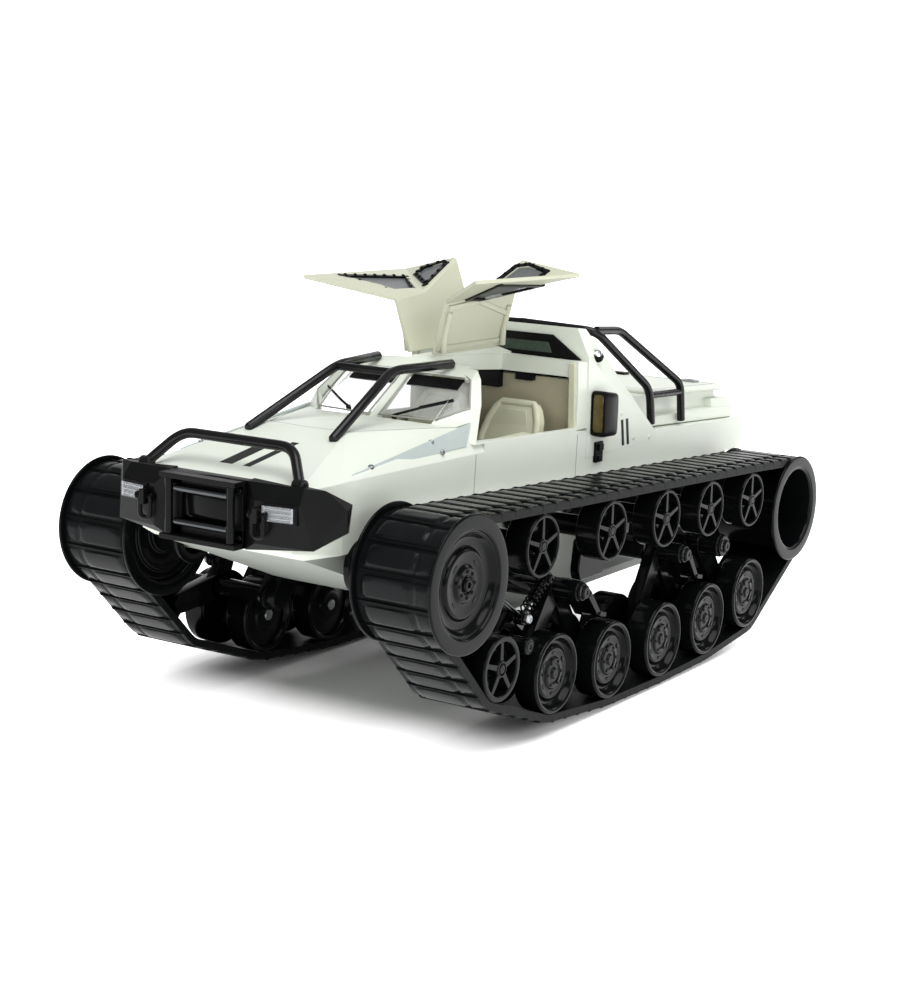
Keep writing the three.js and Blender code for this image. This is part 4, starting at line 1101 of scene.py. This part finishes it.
def build_door(side, label):
    panes = Mould(side)
    panes.place = door_place(side)
    front, n_front = flattened([(82, 50, 198.7), (60.7, 50, 203), (30.3, 60, 176.1), (94.7, 60, 166.7)],
                               BEND_FRONT, SILL_FRONT, SILL_REAR, (0, 1, 0.45))
    rear, n_rear = flattened([(51, 51, 203), (20.1, 63, 203), (14.2, 65, 196.5), (16.5, 65, 180.7),
                              (26.8, 62, 179.8)],
                             BEND_MID, BEND_REAR, SILL_REAR, (0.39, 0.92, 0))
    build_pane(panes, [p + OUT for p in front], n_front, MESH_PANE)
    build_pane(panes, [p + OUT for p in rear], n_rear, MESH_PANE)
    panes.done(f"door_windows_{label}", f"door_{label}", "gear_black", bevel=0.15)

    lips = Mould(side).use(CREAM)
    lips.place = door_place(side)
    roof = [(88, 13.5, 208.2), (15, 13.5, 208.2), (15, 33, 206.6), (54, 44, 205.8), (87, 41.5, 206.1)]
    down = Vector((0, 0, -1))
    for a, b in zip(roof, roof[1:] + roof[:1]):
        a, b = Vector(a), Vector(b)
        across = down.cross((b - a).normalized()).normalized()
        strip(lips, a, b, across, down, 3.4, -0.4, 1.3)
    for x in (17, 86.5):
        arm = [(x, 38, 205.4), (x, 22, 206.4), (x, 14.5, 205.6), (x, 11.8, 205.0)]
        lips.tube(bent(arm, 2.2), 2.0, 14)
    lips.done(f"door_lips_{label}", f"door_{label}", "door_cream", bevel=0.3)

    tabs = Mould(side).use(SCREEN)
    tabs.place = door_place(side)
    edge = flattened([(70, 52, 190), (40, 58, 186)], BEND_FRONT, SILL_FRONT, SILL_REAR, (0, 1, 0.45))[0]
    for spot in edge:
        inner = spot - n_front * 1.2
        low = [inner + Vector((dx, 0, 0)) for dx in (-5, 5)]
        drop = Vector((0, 3, -6))
        ring = [low[0], low[1], low[1] + drop, low[0] + drop]
        tabs.loft([ring, [p - n_front * 1.4 for p in ring]])
    tabs.done(f"door_tabs_{label}", f"door_{label}", "clear_screen", bevel=0.2)


# ---- cabin ----
def bucket_seat(mould, y):
    """A low cushion and a back with a pale rolled edge, wide at the shoulders and narrow at its top."""
    mould.use(TRIM_CREAM)
    mould.prism([(33, 124), (70, 126), (76, 131), (73, 138), (46, 136), (34, 137)], y - 18, y + 18,
                reach=4, crown=3)
    levels = ((124, 34, 21, 6.5), (140, 30, 22.5, 6.0), (152, 26, 22.5, 5.6), (163, 21, 20.5, 5.0),
              (170, 18.2, 17.5, 4.4), (173.6, 16.6, 14.5, 3.0))
    rings = []
    for z, x, half, thick in levels:
        ring = []
        for k in range(24):
            a = 2 * math.pi * k / 24
            c, s = math.cos(a), math.sin(a)
            ring.append((x + thick * math.copysign(abs(c) ** 0.5, c),
                         y + half * math.copysign(abs(s) ** 0.5, s), z))
        rings.append(ring)
    mould.loft(rings)
    rim = [(x + thick * 0.7, y + sign * (half - 2.2), z) for sign, row in ((-1, levels), (1, levels[::-1]))
           for z, x, half, thick in row]
    mould.tube(rim, 2.6, 14)
    pad = [(x + thick * 0.5, y + sign * (half - 9), z)
           for sign, row in ((-1, levels[:-1]), (1, levels[-2::-1])) for z, x, half, thick in row]
    mould.loft([pad, [(px + 2.6, py, pz) for px, py, pz in pad]])


def build_cabin():
    mould = Mould().use(TRIM_CREAM)
    for y in (29, -29):
        bucket_seat(mould, y)
    mould.use(TRIM_CREAM)
    mould.block(2, 116, -57, 57, 118.5, 122)
    mould.block(40, 80, -8, 8, 121, 146)
    for sign in (1, -1):
        for x0, x1, z in ((58, 106, 160.6), (-1, 44, 156.6)):
            mould.block(x0, x1, sign * 57, sign * 62.4, z - 2.4, z + 1.6)
    for sign in (1, -1):
        jamb = ((60.5, 158), (65, 158), (59.5, 202), (63.6, 202))
        mould.hull([(x, sign * y, z) for x in (1.6, 7.6) for y, z in jamb])
    wall = ((-57, 122), (57, 122), (59, 190), (-59, 190))
    mould.use(BACK_TAN).hull([(x, y, z) for x in (-2.2, -0.6) for y, z in wall])
    mould.done("cabin_made", "chassis", "cabin_cream", bevel=0.8, replaces=("cabin_interior",))
    fittings = Mould().use(SATIN)
    for y0, y1, z0, z1 in ((-12.7, 4.2, 180, 191), (16, 29.6, 186.7, 192), (-29.6, -16, 186.7, 192)):
        fittings.block(-1.4, 3.6, y0, y1, z0, z1)
    fittings.block(-1.2, 1.6, -54, 54, 190.6, 192.4)
    fittings.done("cabin_fittings", "chassis", "gear_black", bevel=0.5)
    dash = Mould().use(SATIN)
    dash.prism([(98, 124), (114, 126), (115, 158), (108, 168), (98, 164)], -46, 46, reach=4, crown=2)
    wheel = []
    for k in range(25):
        a = 2 * math.pi * k / 24
        wheel.append((92 + 4 * math.sin(a), 29 + 12 * math.cos(a), 162 + 11 * math.sin(a)))
    dash.tube(wheel, 1.3, 10)
    dash.tube([(92, 29, 162), (104, 29, 156)], 2.2, 14)
    dash.tube([(92, 18, 162), (92, 40, 162)], 1.1, 10)
    dash.done("dash", "chassis", "gear_black", bevel=0.4)


# ---- rear deck ----
def build_deck():
    mould = Mould().use(GROOVE)
    deck = skin_of("rear_deck")
    for x0, x1, y in ((-232, -132, 46.5),):
        for a, b in (((x0, -y), (x1, -y)), ((x1, -y), (x1, y)), ((x1, y), (x0, y)), ((x0, y), (x0, -y))):
            for k in range(24):
                p = Vector((a[0], a[1], 0)).lerp(Vector((b[0], b[1], 0)), k / 24)
                q = Vector((a[0], a[1], 0)).lerp(Vector((b[0], b[1], 0)), (k + 1) / 24)
                spots = []
                for r in (p, q):
                    hit = deck.ray_cast(at(r.x, r.y, 230), Vector((0, 0, -1)), 0.2)[0]
                    spots.append((hit - DATUM) / MM)
                across = (spots[1] - spots[0]).normalized().cross(Vector((0, 0, 1))) * 0.4
                low = [spots[0] - across, spots[0] + across, spots[1] + across, spots[1] - across]
                mould.loft([[c - Vector((0, 0, 0.3)) for c in low], [c + Vector((0, 0, 0.06)) for c in low]])
    mould.done("deck_seams", "chassis", "body_white")
    rim = []
    for x, y in ((-236, -52.5), (-236, 52.5), (-128, 52.5), (-128, -52.5)):
        hit = deck.ray_cast(at(max(x, -233), math.copysign(49, y), 230), Vector((0, 0, -1)), 0.2)[0]
        rim.append(Vector((x, y, (hit.z - DATUM.z) / MM - 1.9)))
    lid = Mould().use(WHITE)
    lid.tube(bent([(rim[0] + rim[1]) / 2, rim[1], rim[2], rim[3], rim[0], (rim[0] + rim[1]) / 2], 7), 2.1, 14)
    lid.done("deck_rim", "chassis", "body_white")
    fittings = Mould().use(SATIN)
    for y in (-30, 30):
        hit = deck.ray_cast(at(-226, y, 230), Vector((0, 0, -1)), 0.2)[0]
        spot = (hit - DATUM) / MM
        fittings.block(spot.x - 4, spot.x + 4, spot.y - 6, spot.y + 6, spot.z - 0.4, spot.z + 1.8)
        fittings.screw(spot + Vector((0, 0, 1.7)), (0, 0, 1), 1.6, 0.8, head=STEEL)
    fittings.done("deck_latches", "chassis", "gear_black", bevel=0.4)


# ---- CAD nodes that stay, with their finishes ----
KEPT = {
    # lower_hull gets the body white darkened as painted shade, for the shadow it lies in.
    "lower_hull": HULL_PAINTED_SHADE, "upper_body": WHITE, "rear_deck": WHITE, "windscreen": SCREEN,
    "door_left": CREAM, "door_right": CREAM, "front_bumper": SATIN, "drive_unit": BLACK, "battery_pack": WRAP,
}


def paint_kept_nodes():
    for node, made in KEPT.items():
        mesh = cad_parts[node].data
        mesh.materials.clear()
        mesh.materials.append(made)


# ---- stage ----
CAMERA_AT = (1.113226, 0.715419, 0.368815)
CAMERA_AZIMUTH, CAMERA_ELEVATION, CAMERA_ROLL = 122.919, 11.064, 1.776
CAMERA_LENS = 73.03


def build_camera():
    a, e, roll = (math.radians(v) for v in (CAMERA_AZIMUTH, CAMERA_ELEVATION, CAMERA_ROLL))
    back = Vector((math.sin(a) * math.cos(e), -math.cos(a) * math.cos(e), math.sin(e)))
    level = Vector((math.cos(a), math.sin(a), 0))
    upright = back.cross(level)
    right = level * math.cos(roll) + upright * math.sin(roll)
    up = upright * math.cos(roll) - level * math.sin(roll)
    data = bpy.data.cameras.new("camera")
    data.lens = CAMERA_LENS
    data.sensor_width = 36
    camera = bpy.data.objects.new("camera", data)
    camera.matrix_world = Matrix.Translation(CAMERA_AT) @ Matrix((right, up, back)).transposed().to_4x4()
    bpy.context.scene.collection.objects.link(camera)
    bpy.context.scene.camera = camera


def softbox(name, where, size, power, target=(0, 0, 0.1)):
    data = bpy.data.lights.new(name, "AREA")
    data.shape = "RECTANGLE"
    data.size, data.size_y = size
    data.energy = power
    lamp = bpy.data.objects.new(name, data)
    lamp.location = where
    lamp.rotation_mode = "QUATERNION"
    lamp.rotation_quaternion = (Vector(target) - Vector(where)).to_track_quat("-Z", "Y")
    bpy.context.scene.collection.objects.link(lamp)


SHADOW_HALF = (0.11, 0.105, 0.0)  # half the dark patch under the vehicle, in metres


def floor_paper():
    """White paper that glows a little away from the vehicle, so only the contact shadow stays dark."""
    made = material("floor_paper", (0.90, 0.90, 0.90), 0.8, spread=0.004, scale=4, bump=0.01, gleam=0.05)
    tree, links = made.node_tree, made.node_tree.links
    spot = shade(tree, "ShaderNodeTexCoord").outputs["Object"]
    for operation, value in (("ABSOLUTE", None), ("SUBTRACT", SHADOW_HALF), ("MAXIMUM", (0.0, 0.0, 0.0)),
                             ("LENGTH", None)):
        step = shade(tree, "ShaderNodeVectorMath")
        step.operation = operation
        if value:
            step.inputs[1].default_value = value
        links.new(spot, step.inputs[0])
        spot = step.outputs["Value" if operation == "LENGTH" else "Vector"]
    glow = shade(tree, "ShaderNodeMapRange", From_Max=0.075, To_Max=0.90)
    glow.interpolation_type = "SMOOTHSTEP"
    links.new(spot, glow.inputs["Value"])
    shader = tree.nodes["Principled BSDF"]
    shader.inputs["Emission Color"].default_value = (1, 1, 1, 1)
    links.new(glow.outputs["Result"], shader.inputs["Emission Strength"])
    return made


def build_stage():
    mesh = bpy.data.meshes.new("floor")
    reach = 12.0
    mesh.from_pydata([(-reach, -reach, 0), (reach, -reach, 0), (reach, reach, 0), (-reach, reach, 0)], [],
                     [(0, 1, 2, 3)])
    mesh.materials.append(floor_paper())
    floor = bpy.data.objects.new("floor", mesh)
    floor.location.z = -0.0002
    bpy.context.scene.collection.objects.link(floor)
    bpy.context.scene.world = studio_world()
    sun = bpy.data.lights.new("skylight", "SUN")
    sun.energy = 2.7
    sun.angle = math.radians(48)
    lamp = bpy.data.objects.new("skylight", sun)
    lamp.rotation_mode = "QUATERNION"
    lamp.rotation_quaternion = Vector((-0.18, -0.28, -1)).to_track_quat("-Z", "Y")
    bpy.context.scene.collection.objects.link(lamp)
    softbox("side", (0.7, 1.6, 0.75), (1.5, 0.5), 9)
    softbox("front", (1.9, 0.5, 0.5), (0.5, 1.2), 5)
    softbox("back", (-1.3, 0.5, 0.9), (0.9, 0.3), 2.5)
    bpy.context.scene.view_settings.view_transform = "Standard"


def studio_world():
    """A white wall behind the vehicle, and a dim room on every other side."""
    world = bpy.data.worlds.new("studio")
    world.use_nodes = True
    tree, links = world.node_tree, world.node_tree.links
    place = shade(tree, "ShaderNodeTexCoord")
    facing = shade(tree, "ShaderNodeVectorMath")
    facing.operation = "DOT_PRODUCT"
    a = math.radians(CAMERA_AZIMUTH)
    facing.inputs[1].default_value = (-math.sin(a), math.cos(a), 0.0)
    links.new(place.outputs["Generated"], facing.inputs[0])
    glow = shade(tree, "ShaderNodeMapRange", From_Min=0.70, From_Max=0.92, To_Min=0.30, To_Max=1.05)
    glow.interpolation_type = "SMOOTHSTEP"
    links.new(facing.outputs["Value"], glow.inputs["Value"])
    links.new(glow.outputs["Result"], tree.nodes["Background"].inputs["Strength"])
    tree.nodes["Background"].inputs["Color"].default_value = (1, 1, 1, 1)
    return world


# ---- everything ----
build_camera()
paint_kept_nodes()
for side_sign, side_name in SIDES:
    build_running_gear(side_sign, side_name)
    build_side_trim(side_sign, side_name)
    build_intake(side_sign, side_name)
    build_lamp(side_sign, side_name)
    build_door(side_sign, side_name)
build_hood()
build_wipers()
build_screen_trim()
build_bulkhead()
build_bars()
build_recovery()
build_cabin()
build_deck()
build_stage()

bpy.context.view_layer.update()
